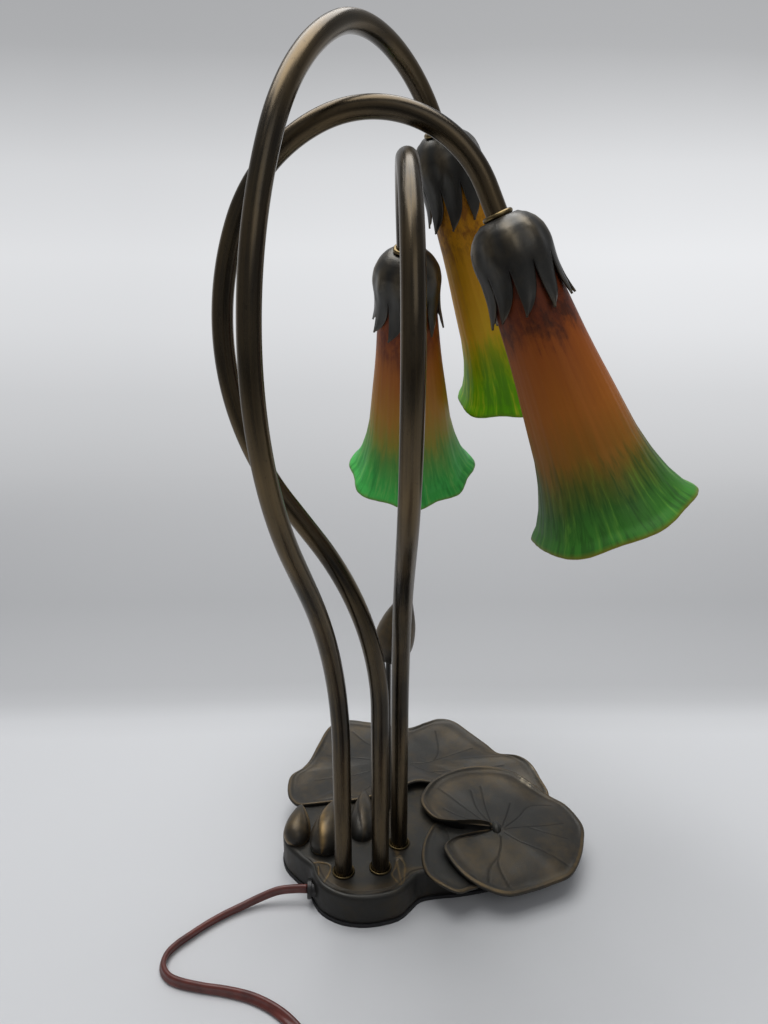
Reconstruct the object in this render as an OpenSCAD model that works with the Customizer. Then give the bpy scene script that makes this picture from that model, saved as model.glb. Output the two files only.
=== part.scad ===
// Table lamp with three bent stems, each carrying a hanging lily-shaped glass shade,
// on a cast base of lily pads. Millimetres, +Z up. The origin is on the table, close
// to the foot of the middle stem; +X is to the right and +Y to the back.

/* [Base] */
// Height of the base's flat top over the table
base_top = 19; // [17:0.5:24]
// Thickness of the foam sheet under the base
foam_t = 2; // [1:0.5:3]
// How far the foam sheet shows past the wall of the base
foam_proud = 0.6; // [0:0.1:1]
// Thickness of the base's wall
wall_t = 3.5; // [2.5:0.5:4]
// Thickness of the base's top
top_t = 4; // [3:0.5:4.5]
// Thickness of the steel plate that closes the base
plate_t = 1; // [0.8:0.2:1.6]
// Diameter of the posts that the bottom screws go into
post_d = 8; // [7:0.5:10]
// Diameter of the bottom screws
screw_d = 3.8; // [3:0.2:4.2]
// Diameter of the bottom screws' heads
screw_head_d = 7; // [6:0.5:8]
// Height of the bottom screws' heads
screw_head_h = 1.2; // [0.8:0.2:1.4]
// Thickness of the lily pads' lips
lip_t = 2.5; // [2:0.25:3]

/* [Stem tubes] */
// Outer diameter of the stem tubes
tube_d = 9.5; // [9:0.25:10]
// Wall of the stem tubes
tube_wall = 1; // [0.8:0.1:1.2]
// Diameter of the lead in each stem
lead_d = 5.8; // [5:0.1:5.8]
// Length of stem below the base's top
tube_foot = 12; // [11:0.5:13]
// Length of stem that enters the calyx, through its nut and into the socket
tube_tip = 10; // [9:0.5:11]
// Diameter of the collars at the feet
collar_d = 13.4; // [12.5:0.1:15]
// Height of the collars at the feet
collar_h = 3.2; // [2:0.2:4]
// Width across the flats of the stems' nuts
nut_flats = 14; // [13:0.5:14.5]
// Height of the nuts under the base
foot_nut_h = 5; // [4:0.5:6]
// Thickness of the washers under the base
washer_t = 1.6; // [1:0.2:2]
// Diameter of the washers under the base
washer_d = 15; // [14:0.5:16]

/* [Left stem, to the high rear shade] */
// Place of its foot
left_foot = [-22, -3];
// Direction of its hook, from +X
left_turn = 63; // [56:1:66]
// Straight length over the base
left_rise = 77; // [70:1:85]
// Radius of the backward lean
left_lean_r = 190; // [170:5:210]
// Angle of the backward lean
left_lean = 30; // [27:0.5:31]
// Straight length after the lean
left_mid = 24; // [15:1:35]
// Radius of the long curve over the back
left_back_r = 175; // [160:5:190]
// Angle of the long curve over the back
left_back = 57; // [54:0.5:59]
// Radius of the crown
left_crown_r = 100; // [90:5:110]
// Angle of the crown
left_crown = 39.5; // [38:0.5:44]
// Radius of the drop to the shade
left_drop_r = 56; // [50:1:62]
// Angle of the drop to the shade
left_drop = 88; // [84:0.5:92]
// Twist of the drop out of the stem's plane
left_twist = 12; // [6:0.5:13]
// Straight length before the shade
left_end = 5; // [4:0.5:8]

/* [Middle stem, to the front right shade] */
// Place of its foot
middle_foot = [-2, 0];
// Direction of its hook, from +X
middle_turn = -3; // [-6:1:2]
// Straight length over the base
middle_rise = 97; // [90:1:105]
// Radius of the backward lean
middle_lean_r = 155; // [140:5:170]
// Angle of the backward lean
middle_lean = 36.5; // [34:0.5:38]
// Straight length after the lean
middle_mid = 23; // [15:1:30]
// Radius of the long curve over the back
middle_back_r = 130; // [120:5:140]
// Angle of the long curve over the back
middle_back = 58; // [55:0.5:60]
// Radius of the crown
middle_crown_r = 70; // [65:5:80]
// Angle of the crown
middle_crown = 44.5; // [42:0.5:48]
// Radius of the drop to the shade
middle_drop_r = 52; // [48:1:56]
// Angle of the drop to the shade
middle_drop = 90; // [86:0.5:93]
// Twist of the drop out of the stem's plane
middle_twist = 0; // [-3:1:3]
// Straight length before the shade
middle_end = 13; // [8:0.5:16]

/* [Right stem, to the low rear shade] */
// Place of its foot
right_foot = [8.5, 19];
// Direction of its hook, from +X
right_turn = 91.5; // [87:0.5:95]
// Straight length over the base
right_rise = 74; // [68:1:80]
// Radius of the backward lean
right_lean_r = 170; // [155:5:185]
// Angle of the backward lean
right_lean = 39; // [36:0.5:40]
// Straight length after the lean
right_mid = 23; // [15:1:30]
// Radius of the long curve over the back
right_back_r = 135; // [125:5:145]
// Angle of the long curve over the back
right_back = 35; // [32:0.5:38]
// Radius of the crown
right_crown_r = 80; // [75:5:90]
// Angle of the crown
right_crown = 63; // [60:0.5:66]
// Radius of the drop to the shade
right_drop_r = 52; // [48:1:56]
// Angle of the drop to the shade
right_drop = 93; // [90:0.5:96]
// Twist of the drop out of the stem's plane
right_twist = 3; // [0:1:6]
// Straight length before the shade
right_end = 8; // [5:0.5:10]

/* [Calyx] */
// Length from the ring to the tips of the petals
calyx_h = 41; // [40:1:45]
// Largest diameter of the calyx
calyx_d = 35.4; // [35:0.2:37]
// Diameter across the tips of the petals
calyx_tip_d = 37.2; // [36.4:0.2:40]
// Wall of the calyx
calyx_t = 0.9; // [0.7:0.1:1]
// How far down the slits between the petals start
slit_top = 22; // [20:1:26]
// Number of petals
petals = 10; // [8:1:12]
// Diameter of the ring over the calyx
tip_ring_d = 13.2; // [12:0.2:14]
// Height of the ring over the calyx
tip_ring_h = 2.4; // [2:0.2:3]
// Height of the nut in the calyx
tip_nut_h = 4; // [3:0.5:4.5]

/* [Glass shade] */
// Distance from the ring to the shade's mouth
shade_end = 141; // [130:1:150]
// Thickness of the glass
glass_t = 2.2; // [2:0.1:2.4]
// Diameter of the shade's neck
neck_d = 29.2; // [28.8:0.1:30]
// Diameter of the shade at the tips of the petals
throat_d = 32.8; // [32:0.2:33.2]
// Diameter of the shade where the flare starts
waist_d = 50; // [46:1:54]
// Diameter of the mouth, between its ruffles
mouth_d = 75; // [70:1:80]
// How far a ruffle stands out of the mouth's circle
ruffle = 1.6; // [1:0.2:2]
// Number of ruffles
ruffles = 7; // [6:1:8]

/* [Lamp socket and bulb] */
// Diameter of the socket's body
socket_d = 19; // [18.6:0.1:19.2]
// Diameter of the socket's flange over the shade
flange_d = 25; // [24:0.2:26]
// Thickness of the socket's flange
flange_t = 2; // [1.6:0.2:2.4]
// Height from the ring to the socket's lower end
socket_end = 40; // [38:0.5:42]
// Diameter of the shade ring that screws on the socket
shade_ring_d = 24; // [23:0.2:24.2]
// Height of the shade ring
shade_ring_h = 4; // [3:0.5:5]
// Diameter of the bulb's screw cap
cap_d = 11.7; // [11.5:0.1:11.9]
// Length of the bulb's screw cap
cap_h = 16; // [14:0.5:17]
// Largest diameter of the bulb
bulb_d = 22; // [20:0.5:24]
// Length of the bulb's glass below its cap
bulb_h = 54; // [50:1:58]

/* [Closed bud on its rod] */
// Place of the rod's foot
bud_foot = [2.5, 50];
// Diameter of the rod
rod_d = 3; // [2.5:0.1:3.5]
// Height of the rod's upper end over the table
rod_top = 126; // [115:1:135]
// Diameter of the bud
bud_d = 23; // [20:0.5:25]
// Length of the bud
bud_l = 44; // [40:1:48]
// Lean of the bud to the right
bud_lean = 14; // [10:1:18]

/* [Cord, switch and plug] */
// Width of the flat twin cord
cord_d = 5.4; // [5:0.1:5.5]
// Height of the cord's exit over the table
exit_z = 8.5; // [8:0.25:9]
// Diameter of the bushing in the wall of the base
bush_d = 8; // [7.6:0.1:8.4]
// Length of the bushing
bush_l = 7; // [6:0.5:8]
// Thickness of the bushing's flange
bush_flange = 2; // [1.5:0.5:2.5]
// Length of the switch
switch_l = 56; // [54:1:60]
// Width of the switch
switch_w = 25; // [24:0.5:26]
// Height of the switch
switch_h = 15; // [15:0.5:16]
// Wall of the switch
switch_wall = 2; // [1.6:0.1:2]
// Diameter of the switch's thumb wheel
wheel_d = 19; // [18:0.5:20]
// Thickness of the thumb wheel
wheel_t = 5; // [4:0.5:6]
// How far the thumb wheel stands out of the switch
wheel_out = 3; // [2:0.5:4]
// Radius of the coil's middle turn
coil_r = 29; // [28:1:32]
// Number of turns in each of the coil's two layers
coil_turns = 4; // [4]
// Step from one turn of the coil to the next
coil_step = 5.9; // [5.9:0.1:6.2]
// Thickness of the tie round the coil
tie_t = 0.8; // [0.6:0.1:0.8]
// Width of the tie round the coil
tie_w = 6; // [5:0.5:8]
// Length of the plug's body
plug_l = 30; // [28:1:34]
// Width of the plug's body
plug_w = 20; // [19:0.5:22]
// Height of the plug's body
plug_h = 12; // [12:0.5:14]
// Length of the plug's blades
blade_l = 17; // [16:0.5:18]
// Distance between the plug's blades
blade_gap = 12.7; // [12.7]

/* [Hidden] */
$fn = 64;
bore_gap = 0.05; // running clearance of a fit, on the radius
seat_gap = 0.3; // clearance between seated pieces that turn
nut_fn = 6;
cable_fn = 8;
coil_fn = 6;
lead_floor = 0.3; // height of the leads' ends over the plate
hair = 0.02; // how much thinner a bend is than its neighbours, on the radius
overlap = 0.4; // how far such a bend reaches into its neighbours

bronze = "#4a4138";
dark_bronze = "#3a362f";
brass = "#9a7b45";
calyx_grey = "#3e3b36";
amber = "#a5622b";
black = "#16161a";
steel = "#8d9094";
phenolic = "#1e1a18";
bulb_white = "#e9e6dc";
cord_brown = "#5a2f27";

// The outline of the base's wall, anticlockwise from the front.
base_outline = [
    [-8, -21.5], [7, -17.5], [14.5, -10], [19.5, -4.5], [29, -2], [41, -0.5], [53, 2],
    [66, 5.5], [79, 8.5], [90, 13], [98, 20], [102, 29], [102.5, 38], [100, 48],
    [95.5, 59], [93.5, 72], [92, 84], [83, 91], [70, 98], [62, 110], [52, 125], [40, 130], [29, 127],
    [17, 122], [3, 125], [-11, 128], [-24, 128], [-32, 121], [-37, 107], [-42, 93],
    [-47, 83], [-52, 74], [-53, 63], [-52, 54], [-56, 43], [-59, 31], [-56, 19],
    [-48, 9], [-41, 2], [-38.5, -5], [-33, -13.5], [-22, -20]
];
// Rim points [x, y, z] of the notched pad at the front right, round its centre.
front_centre = [66, 26, 22];
front_rim = [
    [60, 24.5, 22.5], [51, 21.8, 23.5], [39, 17.5, 23.5], [33.5, 11.5, 23], [36, 3, 22],
    [43, -6.5, 20], [53, -12.5, 17.5], [66, -15, 15], [80, -10.5, 14], [92, -5.5, 14],
    [103, 0, 14.5], [111, 12, 15], [116, 25, 16], [118, 37, 17.5], [112, 52, 19],
    [101.5, 62, 20], [92, 70, 23], [83, 77, 25], [71, 81, 26], [57, 81.5, 26],
    [43, 77, 26], [31, 69, 25], [24, 58, 24], [22.5, 47, 24], [29, 35.5, 23.5],
    [40, 31, 24], [52, 28.6, 24.5], [60, 27.3, 23]
];
// Rim points [x, y, z] of the wide pad at the back, round its centre.
back_centre = [14, 96, 21];
back_rim = [
    [-54, 52, 20], [-46, 50.5, 21], [-30, 53, 21], [-17, 54, 21.5], [-5, 57.5, 22],
    [8, 62, 23], [22, 69, 24], [40, 66, 22], [60, 60, 20.5], [80, 58, 20], [98, 60, 20.5],
    [101, 74, 24], [98, 87, 26], [90, 94, 26], [77, 98.5, 24], [70, 109, 24],
    [60, 122, 25], [50, 134, 26], [40, 137.5, 26], [30, 134.5, 25], [17.5, 129, 24],
    [4, 132, 24], [-11, 134.5, 25], [-28, 135.5, 26], [-39, 128, 25], [-45, 109, 24],
    [-49, 93.5, 23], [-53.5, 85, 22], [-60.5, 77.5, 21], [-60, 62, 20]
];
// Outline of the low pad under the notched one.
low_pad = [
    [43, -13.5], [37, -15], [29, -12], [23.5, -5.5], [21, 3], [21.5, 14], [25, 26],
    [32, 36], [45, 30], [50, 12], [47, -3]
];
low_pad_top = base_top + 0.6;
// The two reclining buds on the base: [tail, tip, diameter].
resting_buds = [
    [[-50, 17, 20], [-50, 40, 28], 15],
    [[-35.5, 10, 21], [-31, 40, 31], 17]
];
// Places of the bottom screws.
screw_places = [[-10, 112], [84, 70], [64, 17]];
// Places of the wire connectors' middles, in the hollow of the base.
connector_places = [[-6, 52, 9.7], [20, 52, 9.7]];

// The cord's route. From the bushing over the table to the switch.
exit_at = [-41.5, -4, exit_z];
cord_lie = cord_d / 2;
switch_at = [0, -107, 0];
coil_lie = cord_lie + tie_t + 0.1;
coil_centre = [48, -172];
coil_out = coil_r + coil_step * coil_turns / 2;
coil_in_at = [coil_centre[0], coil_centre[1] + coil_out, coil_lie];
coil_out_at = coil_in_at + [0, 0, coil_step];
route_to_switch = [
    exit_at, exit_at - [7, 0, 0], [-58, -4.5, 7.6], [-68, -7, 5], [-77, -11, 3.2],
    [-86, -16.5, cord_lie], [-94, -23, cord_lie], [-100.5, -29.5, cord_lie],
    [-106, -35.5, cord_lie], [-109.3, -41.6, cord_lie], [-109.4, -48.2, cord_lie],
    [-105.6, -53.8, cord_lie], [-99.4, -57.2, cord_lie], [-88, -60, cord_lie],
    [-76, -62, cord_lie], [-64, -65, cord_lie], [-54, -69.5, cord_lie],
    [-45, -75.5, cord_lie], [-37, -83, cord_lie], [-29, -91.5, cord_lie],
    [-21, -99.5, 3.4], [-12, -105.5, 5.8], switch_at + [-cord_d, 0, switch_h / 2],
    switch_at + [0, 0, switch_h / 2]
];
route_to_coil = [
    switch_at + [switch_l, 0, switch_h / 2], [61.5, -107, 7.4], [66, -107.1, 7],
    [72, -109.6, 5.8], [76, -115, 4.6], [76.2, -122, 3.8], [72.4, -128.2, coil_lie],
    [66.2, -131.1, coil_lie], coil_in_at + [12, 0, 0], coil_in_at + [cord_d, 0, 0]
];
plug_at = [-6, -130, plug_h / 2];
route_to_plug = [
    coil_out_at - [cord_d, 0, 0], coil_out_at - [2 * cord_d, 0, 0], [29, -131.2, 7.2],
    [21, -131, 4.6], [13, -130.5, 3.4], [5, -130, 4.2], plug_at + [cord_d, 0, 0], plug_at
];
// The end of the cord inside the base, from the bushing to the wire connectors.
route_inside = [
    exit_at, [-37, -4, exit_z], [-33.5, -0.5, exit_z], [-33.5, 6, exit_z],
    [-33.5, 15, exit_z], [-32, 26, exit_z], [-29, 38, 9], [-26, 47, 9.5], [-21.5, 51.5, 9.7],
    [-16.3, 52, 9.7]
];

tube_r = tube_d / 2;
fit_r = tube_r + bore_gap;
cavity_z = base_top - top_t;
plate_z = foam_t + screw_head_h;
lip_top = socket_seat() + flange_t + seat_gap;
lip_h = 3;
flare_from = 0.567; // share of the shade's length where its ruffle begins
shade_ring_z = lip_top + lip_h + seat_gap;
socket_top = calyx_plate() + tip_nut_h + 0.5;
contact_z = 19;
contact_t = 0.6;
shell_top = 21;
shell_t = 0.4;
shell_gap = 0.1;
cap_top = shell_top + 0.3;

function calyx_plate() = 1.2;
function socket_seat() = 9;

left_bends = [
    [left_rise, left_lean_r, -left_lean, 0], [left_mid, left_back_r, left_back, 0],
    [0, left_crown_r, left_crown, left_twist], [0, left_drop_r, left_drop, 0]
];
middle_bends = [
    [middle_rise, middle_lean_r, -middle_lean, 0], [middle_mid, middle_back_r, middle_back, 0],
    [0, middle_crown_r, middle_crown, middle_twist], [0, middle_drop_r, middle_drop, 0]
];
right_bends = [
    [right_rise, right_lean_r, -right_lean, 0], [right_mid, right_back_r, right_back, 0],
    [0, right_crown_r, right_crown, right_twist], [0, right_drop_r, right_drop, 0]
];
// Each stem: foot, direction, bends [straight before, radius, angle, twist after], last straight.
stems = [
    [left_foot, left_turn, left_bends, left_end],
    [middle_foot, middle_turn, middle_bends, middle_end],
    [right_foot, right_turn, right_bends, right_end]
];

// ---- Curves and swept forms ----

// A point of the smooth curve through p1 and p2, a share t of the way along.
function between(p0, p1, p2, p3, t) =
    p1 + (t * (p2 - p0) + t * t * (2 * p0 - 5 * p1 + 4 * p2 - p3)
    + t * t * t * (3 * p1 - p0 - 3 * p2 + p3)) / 2;

// The smooth closed curve through points, with n steps to each.
function closed_curve(points, n) = let (m = len(points)) [
    for (i = [0 : m - 1]) for (k = [0 : n - 1])
        between(points[(i + m - 1) % m], points[i], points[(i + 1) % m], points[(i + 2) % m], k / n)
];

// The smooth open curve through points, with n steps to each.
function open_curve(points, n) = let (m = len(points)) [
    for (i = [0 : m - 2]) for (k = [0 : (i == m - 2 ? n : n - 1)])
        between(points[max(i - 1, 0)], points[i], points[i + 1], points[min(i + 2, m - 1)], k / n)
];

// A closed outline moved inwards by d; negative d moves it outwards.
function inset(outline, d) = let (m = len(outline)) [
    for (i = [0 : m - 1])
        let (along = outline[(i + 1) % m] - outline[(i + m - 1) % m])
        outline[i] + d * [-along[1], along[0]] / norm(along)
];

// A value read off a smooth curve through [place, value] rows.
function smooth_at(rows, x, i = 0) =
    i >= len(rows) - 2 || x <= rows[i + 1][0]
    ? let (m = len(rows), t = (x - rows[i][0]) / (rows[i + 1][0] - rows[i][0]))
        between(rows[max(i - 1, 0)], rows[i], rows[i + 1], rows[min(i + 2, m - 1)], t)[1]
    : smooth_at(rows, x, i + 1);

// Two triangles on each square of a grid of rows x columns points, closed round the columns.
function grid_faces(rows, columns) = [
    for (i = [0 : rows - 2]) for (j = [0 : columns - 1])
        let (a = i * columns + j, b = i * columns + (j + 1) % columns)
        each [[a, b, b + columns], [a, b + columns, a + columns]]
];

// A tube of the given radius round a path that never points straight up.
module swept_tube(path, radius, sides) {
    last = len(path) - 1;
    points = [
        for (i = [0 : last])
            let (
                along = path[min(i + 1, last)] - path[max(i - 1, 0)],
                ahead = along / norm(along),
                sideways = cross([0, 0, 1], ahead) / norm(cross([0, 0, 1], ahead)),
                upwards = cross(ahead, sideways)
            )
            for (k = [0 : sides - 1])
                path[i] + radius * (cos(360 * (k + 0.5) / sides) * sideways
                - sin(360 * (k + 0.5) / sides) * upwards)
    ];
    ends = [
        [for (k = [sides - 1 : -1 : 0]) k],
        [for (k = [0 : sides - 1]) last * sides + k]
    ];
    polyhedron(points, concat(grid_faces(last + 1, sides), ends), convexity = 6);
}

// One straight and one bend of a stem, with what follows carried to its end.
module follow(bends, i = 0) {
    if (i < len(bends)) {
        row = bends[i];
        side = row[2] < 0 ? 180 : 0;
        angle = abs(row[2]);
        translate([0, 0, row[0]])
            rotate([0, 0, side])
                translate([row[1] * (1 - cos(angle)), 0, row[1] * sin(angle)])
                    rotate([0, angle, 0])
                        rotate([0, 0, -side - row[3]])
                            follow(bends, i + 1) children();
    } else {
        children();
    }
}

// A section carried along the bends: the first child on the straights and the crown, and the
// second, a hair thinner, on the other bends, which reach a little way into their neighbours.
module run_of(bends, past, i = 0) {
    if (i < len(bends)) {
        row = bends[i];
        side = row[2] < 0 ? 180 : 0;
        angle = abs(row[2]);
        crown = i == 2;
        nib = crown ? 0 : overlap / row[1] * 180 / PI;
        if (row[0] > 0)
            linear_extrude(row[0])
                children(0);
        translate([0, 0, row[0]])
            rotate([0, 0, side]) {
                translate([row[1], 0, 0])
                    rotate([90, 0, 180])
                        rotate([0, 0, -nib])
                            rotate_extrude(angle = angle + 2 * nib)
                                translate([row[1], 0])
                                    children(crown ? 0 : 1);
                translate([row[1] * (1 - cos(angle)), 0, row[1] * sin(angle)])
                    rotate([0, angle, 0])
                        rotate([0, 0, -side - row[3]])
                            run_of(bends, past, i + 1) {
                                children(0);
                                children(1);
                            }
            }
    } else {
        linear_extrude(past)
            children(0);
    }
}

// Places children at a stem's foot, on the base's top.
module at_foot(i) {
    translate([stems[i][0][0], stems[i][0][1], base_top])
        rotate([0, 0, stems[i][1]])
            children();
}

// Places children at a stem's upper end, with +Z along its shade's axis, down to the mouth.
module at_tip(i) {
    at_foot(i)
        follow(stems[i][2])
            translate([0, 0, stems[i][3]])
                children();
}

// A long bent form of one section, from below the base's top to past the ring.
module bent(i, below, past) {
    bends = stems[i][2];
    first = [bends[0] + [below, 0, 0, 0], bends[1], bends[2], bends[3]];
    at_foot(i)
        translate([0, 0, -below])
            run_of(first, stems[i][3] + past) {
                children(0);
                children(1);
            }
}

module ring_2d(outer, inner) {
    difference() {
        circle(outer);
        circle(inner);
    }
}

module hex_nut(height, bore) {
    difference() {
        cylinder(h = height, r = nut_flats / 2 / cos(30), $fn = nut_fn);
        translate([0, 0, -1])
            cylinder(h = height + 2, r = bore);
    }
}

// A plump ovoid between two points, for a closed bud.
module ovoid(tail, tip, width) {
    along = tip - tail;
    length = norm(along);
    profile = open_curve([
        [0, 0], [0.3 * width, 0.05 * length], [0.47 * width, 0.2 * length],
        [0.5 * width, 0.38 * length], [0.42 * width, 0.6 * length],
        [0.25 * width, 0.82 * length], [0.1 * width, 0.95 * length], [0, length]
    ], 3);
    translate(tail)
        rotate([0, acos(along[2] / length), atan2(along[1], along[0])])
            rotate_extrude()
                polygon([for (p = profile) [max(p[0], 0), p[1]]]);
}

// ---- Base ----

wall_curve = closed_curve(base_outline, 3);

// A ring of a pad's dished skin, at a share of the way from its centre to its rim.
function pad_ring(centre, curve, share) = [
    for (p = curve)
        let (flat = centre + share * (p - centre))
        [flat[0], flat[1], centre[2] + (p[2] - centre[2]) * pow(share, 2)]
];

// Faces that close a stack of rings with a point above, top, and the point after it below.
function closed_stack(rings, columns, top) =
    let (low = (rings - 1) * columns)
    concat(
        [for (j = [0 : columns - 1]) [top, (j + 1) % columns, j]],
        grid_faces(rings, columns),
        [for (j = [0 : columns - 1]) [top + 1, low + j, low + (j + 1) % columns]]
    );

// A pad: its top is dished round the centre, its lip stands out over the base's wall.
module lily_pad(centre, rim) {
    curve = closed_curve(rim, 2);
    keel = base_top - 2.5;
    rings = [
        for (share = [0.3, 0.6, 0.85, 1]) pad_ring(centre, curve, share),
        [for (p = curve) p - [0, 0, lip_t]],
        [
            for (p = curve)
                let (q = centre + 0.86 * (p - centre), skin = centre[2] + (p[2] - centre[2]) * 0.74)
                [q[0], q[1], min(keel, skin - lip_t)]
        ]
    ];
    points = concat([for (ring = rings) each ring], [centre, [centre[0], centre[1], keel]]);
    polyhedron(points, closed_stack(len(rings), len(curve), len(points) - 2), convexity = 8);
}

// The room over a pad, from just under its skin: the slab below keeps out of it.
module room_over(centre, rim) {
    curve = closed_curve(rim, 2);
    sink = [0, 0, 0.8];
    roof = 2 * base_top;
    rings = [
        [for (p = pad_ring(centre, curve, 0.96)) [p[0], p[1], roof]],
        for (share = [0.96, 0.85, 0.6, 0.3])
            [for (p = pad_ring(centre, curve, share)) p - sink]
    ];
    points = concat(
        [for (ring = rings) each ring],
        [[centre[0], centre[1], roof], centre - sink]
    );
    polyhedron(points, closed_stack(len(rings), len(curve), len(points) - 2), convexity = 8);
}

// The hollow body under the pads, with the posts of the bottom screws.
module base_slab() {
    difference() {
        translate([0, 0, foam_t])
            linear_extrude(base_top - foam_t)
                polygon(wall_curve);
        translate([0, 0, foam_t - 1])
            linear_extrude(cavity_z - foam_t + 1)
                polygon(inset(wall_curve, wall_t));
    }
    for (p = screw_places)
        translate([p[0], p[1], plate_z + plate_t])
            cylinder(h = base_top - plate_z - plate_t - 1, d = post_d);
}

module base_casting() {
    color(dark_bronze)
        difference() {
            union() {
                difference() {
                    union() {
                        base_slab();
                        translate([0, 0, cavity_z + 1])
                            linear_extrude(low_pad_top - cavity_z - 1)
                                polygon(closed_curve(low_pad, 3));
                    }
                    room_over(front_centre, front_rim);
                }
                for (b = resting_buds)
                    ovoid(b[0], b[1], b[2]);
                lily_pad(front_centre, front_rim);
                lily_pad(back_centre, back_rim);
            }
            for (s = stems)
                translate([s[0][0], s[0][1], foam_t])
                    cylinder(h = 2 * base_top, r = fit_r);
            translate([bud_foot[0], bud_foot[1], foam_t])
                cylinder(h = 2 * base_top, r = rod_d / 2 + bore_gap);
            for (p = screw_places)
                translate([p[0], p[1], plate_z])
                    cylinder(h = cavity_z - plate_z, r = screw_d / 2 + bore_gap);
            translate(exit_at)
                rotate([0, 90, 0])
                    cylinder(h = bush_l + 1, r = bush_d / 2 + bore_gap);
        }
}

module bottom_plate() {
    color(steel)
        translate([0, 0, plate_z])
            difference() {
                linear_extrude(plate_t)
                    polygon(inset(wall_curve, wall_t + seat_gap));
                for (p = screw_places)
                    translate([p[0], p[1], -1])
                        cylinder(h = plate_t + 2, r = screw_d / 2 + bore_gap);
            }
}

module foam_pad() {
    color(black)
        linear_extrude(foam_t)
            polygon(inset(wall_curve, -foam_proud));
}

module bottom_screws() {
    color(steel)
        for (p = screw_places)
            translate([p[0], p[1], foam_t]) {
                cylinder(h = screw_head_h, d = screw_head_d);
                cylinder(h = cavity_z - foam_t - 2, d = screw_d);
            }
}

// A sleeve through the wall, flanged outside, bored for the cord.
module cord_bushing() {
    color(black)
        translate(exit_at)
            rotate([0, 90, 0])
                difference() {
                    union() {
                        cylinder(h = bush_flange, d = bush_d + 2.4);
                        cylinder(h = bush_l, d = bush_d);
                    }
                    translate([0, 0, -1])
                        cylinder(h = bush_l + 2, r = cord_d / 2 + bore_gap);
                }
}

module foot_collars() {
    color(brass)
        for (i = [0 : 2])
            at_foot(i)
                rotate_extrude()
                    polygon([
                        [fit_r, 0], [collar_d / 2, 0], [collar_d / 2, collar_h * 0.4],
                        [collar_d / 2 - 0.5, collar_h * 0.75], [collar_d / 2 - 1.2, collar_h],
                        [fit_r, collar_h]
                    ]);
}

module foot_washers() {
    color(steel)
        for (i = [0 : 2])
            at_foot(i)
                translate([0, 0, -top_t - washer_t])
                    linear_extrude(washer_t)
                        ring_2d(washer_d / 2, fit_r);
}

module foot_nuts() {
    color(steel)
        for (i = [0 : 2])
            at_foot(i)
                translate([0, 0, -top_t - washer_t - foot_nut_h])
                    rotate([0, 0, 15])
                        hex_nut(foot_nut_h, fit_r);
}

module wire_connectors() {
    color("#c9b037")
        for (p = connector_places)
            translate(p)
                rotate([0, 90, 0])
                    rotate_extrude()
                        polygon([[0, -10], [5, -10], [5, -4], [3.2, 9], [2.2, 10], [0, 10]]);
}

module inner_cord() {
    color(cord_brown)
        swept_tube(open_curve(route_inside, 2), cord_d / 2, cable_fn);
}

module bud_rod() {
    color(bronze)
        translate([bud_foot[0], bud_foot[1], cavity_z - 1])
            cylinder(h = rod_top - cavity_z + 1, d = rod_d);
}

// The closed bud, bored from below for its rod.
module closed_bud() {
    tail = [bud_foot[0], bud_foot[1], rod_top - 8];
    color(dark_bronze)
        difference() {
            ovoid(tail, tail + bud_l * [sin(bud_lean), 0, cos(bud_lean)], bud_d);
            translate([bud_foot[0], bud_foot[1], rod_top - bud_l])
                cylinder(h = bud_l + bore_gap, r = rod_d / 2 + bore_gap);
        }
}

// ---- Stems and their leads ----

module stem(i) {
    color(bronze)
        bent(i, tube_foot, tube_tip) {
            ring_2d(tube_r, tube_r - tube_wall);
            ring_2d(tube_r - hair, tube_r - tube_wall + hair);
        }
}

module lead(i) {
    color(black)
        bent(i, base_top - plate_z - plate_t - lead_floor, tube_tip + 5) {
            circle(lead_d / 2);
            circle(lead_d / 2 - hair);
        }
}

// ---- Heads, each along its shade's axis ----

module tip_ring(i) {
    color(brass)
        at_tip(i)
            translate([0, 0, -tip_ring_h])
                rotate_extrude()
                    polygon([
                        [fit_r, 0], [tip_ring_d / 2 - 0.8, 0], [tip_ring_d / 2, tip_ring_h * 0.3],
                        [tip_ring_d / 2, tip_ring_h * 0.7], [tip_ring_d / 2 - 0.8, tip_ring_h],
                        [fit_r, tip_ring_h]
                    ]);
}

// The calyx's outer profile: [distance from the ring, radius].
calyx_rows = [
    [0, 0.237 * calyx_d], [0.047 * calyx_h, 0.325 * calyx_d], [0.116 * calyx_h, 0.41 * calyx_d],
    [0.21 * calyx_h, 0.469 * calyx_d], [0.36 * calyx_h, calyx_d / 2],
    [0.558 * calyx_h, 0.4915 * calyx_d], [0.744 * calyx_h, 0.489 * calyx_d],
    [0.884 * calyx_h, 0.245 * (calyx_d + calyx_tip_d)], [calyx_h, calyx_tip_d / 2]
];

module calyx(i) {
    steps = [for (k = [0 : 22]) k * calyx_h / 22];
    outer = [for (s = steps) [smooth_at(calyx_rows, s), s]];
    inner = [for (p = outer) if (p[1] > calyx_plate()) [p[0] - calyx_t, p[1]]];
    depth = calyx_h - slit_top;
    slit = [
        [0.25, slit_top], [1, slit_top + 0.38 * depth], [2.3, slit_top + 0.71 * depth],
        [0.175 * calyx_d, slit_top + 1.05 * depth]
    ];
    color(calyx_grey)
        at_tip(i)
            difference() {
                rotate_extrude()
                    polygon(concat(
                        outer,
                        [for (k = [len(inner) - 1 : -1 : 0]) inner[k]],
                        [[inner[0][0], calyx_plate()], [fit_r, calyx_plate()], [fit_r, 0]]
                    ));
                for (k = [0 : petals - 1])
                    rotate([90, 0, 360 * k / petals])
                        linear_extrude(calyx_d)
                            polygon(concat(slit, [for (q = [3 : -1 : 0]) [-slit[q][0], slit[q][1]]]));
            }
}

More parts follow.
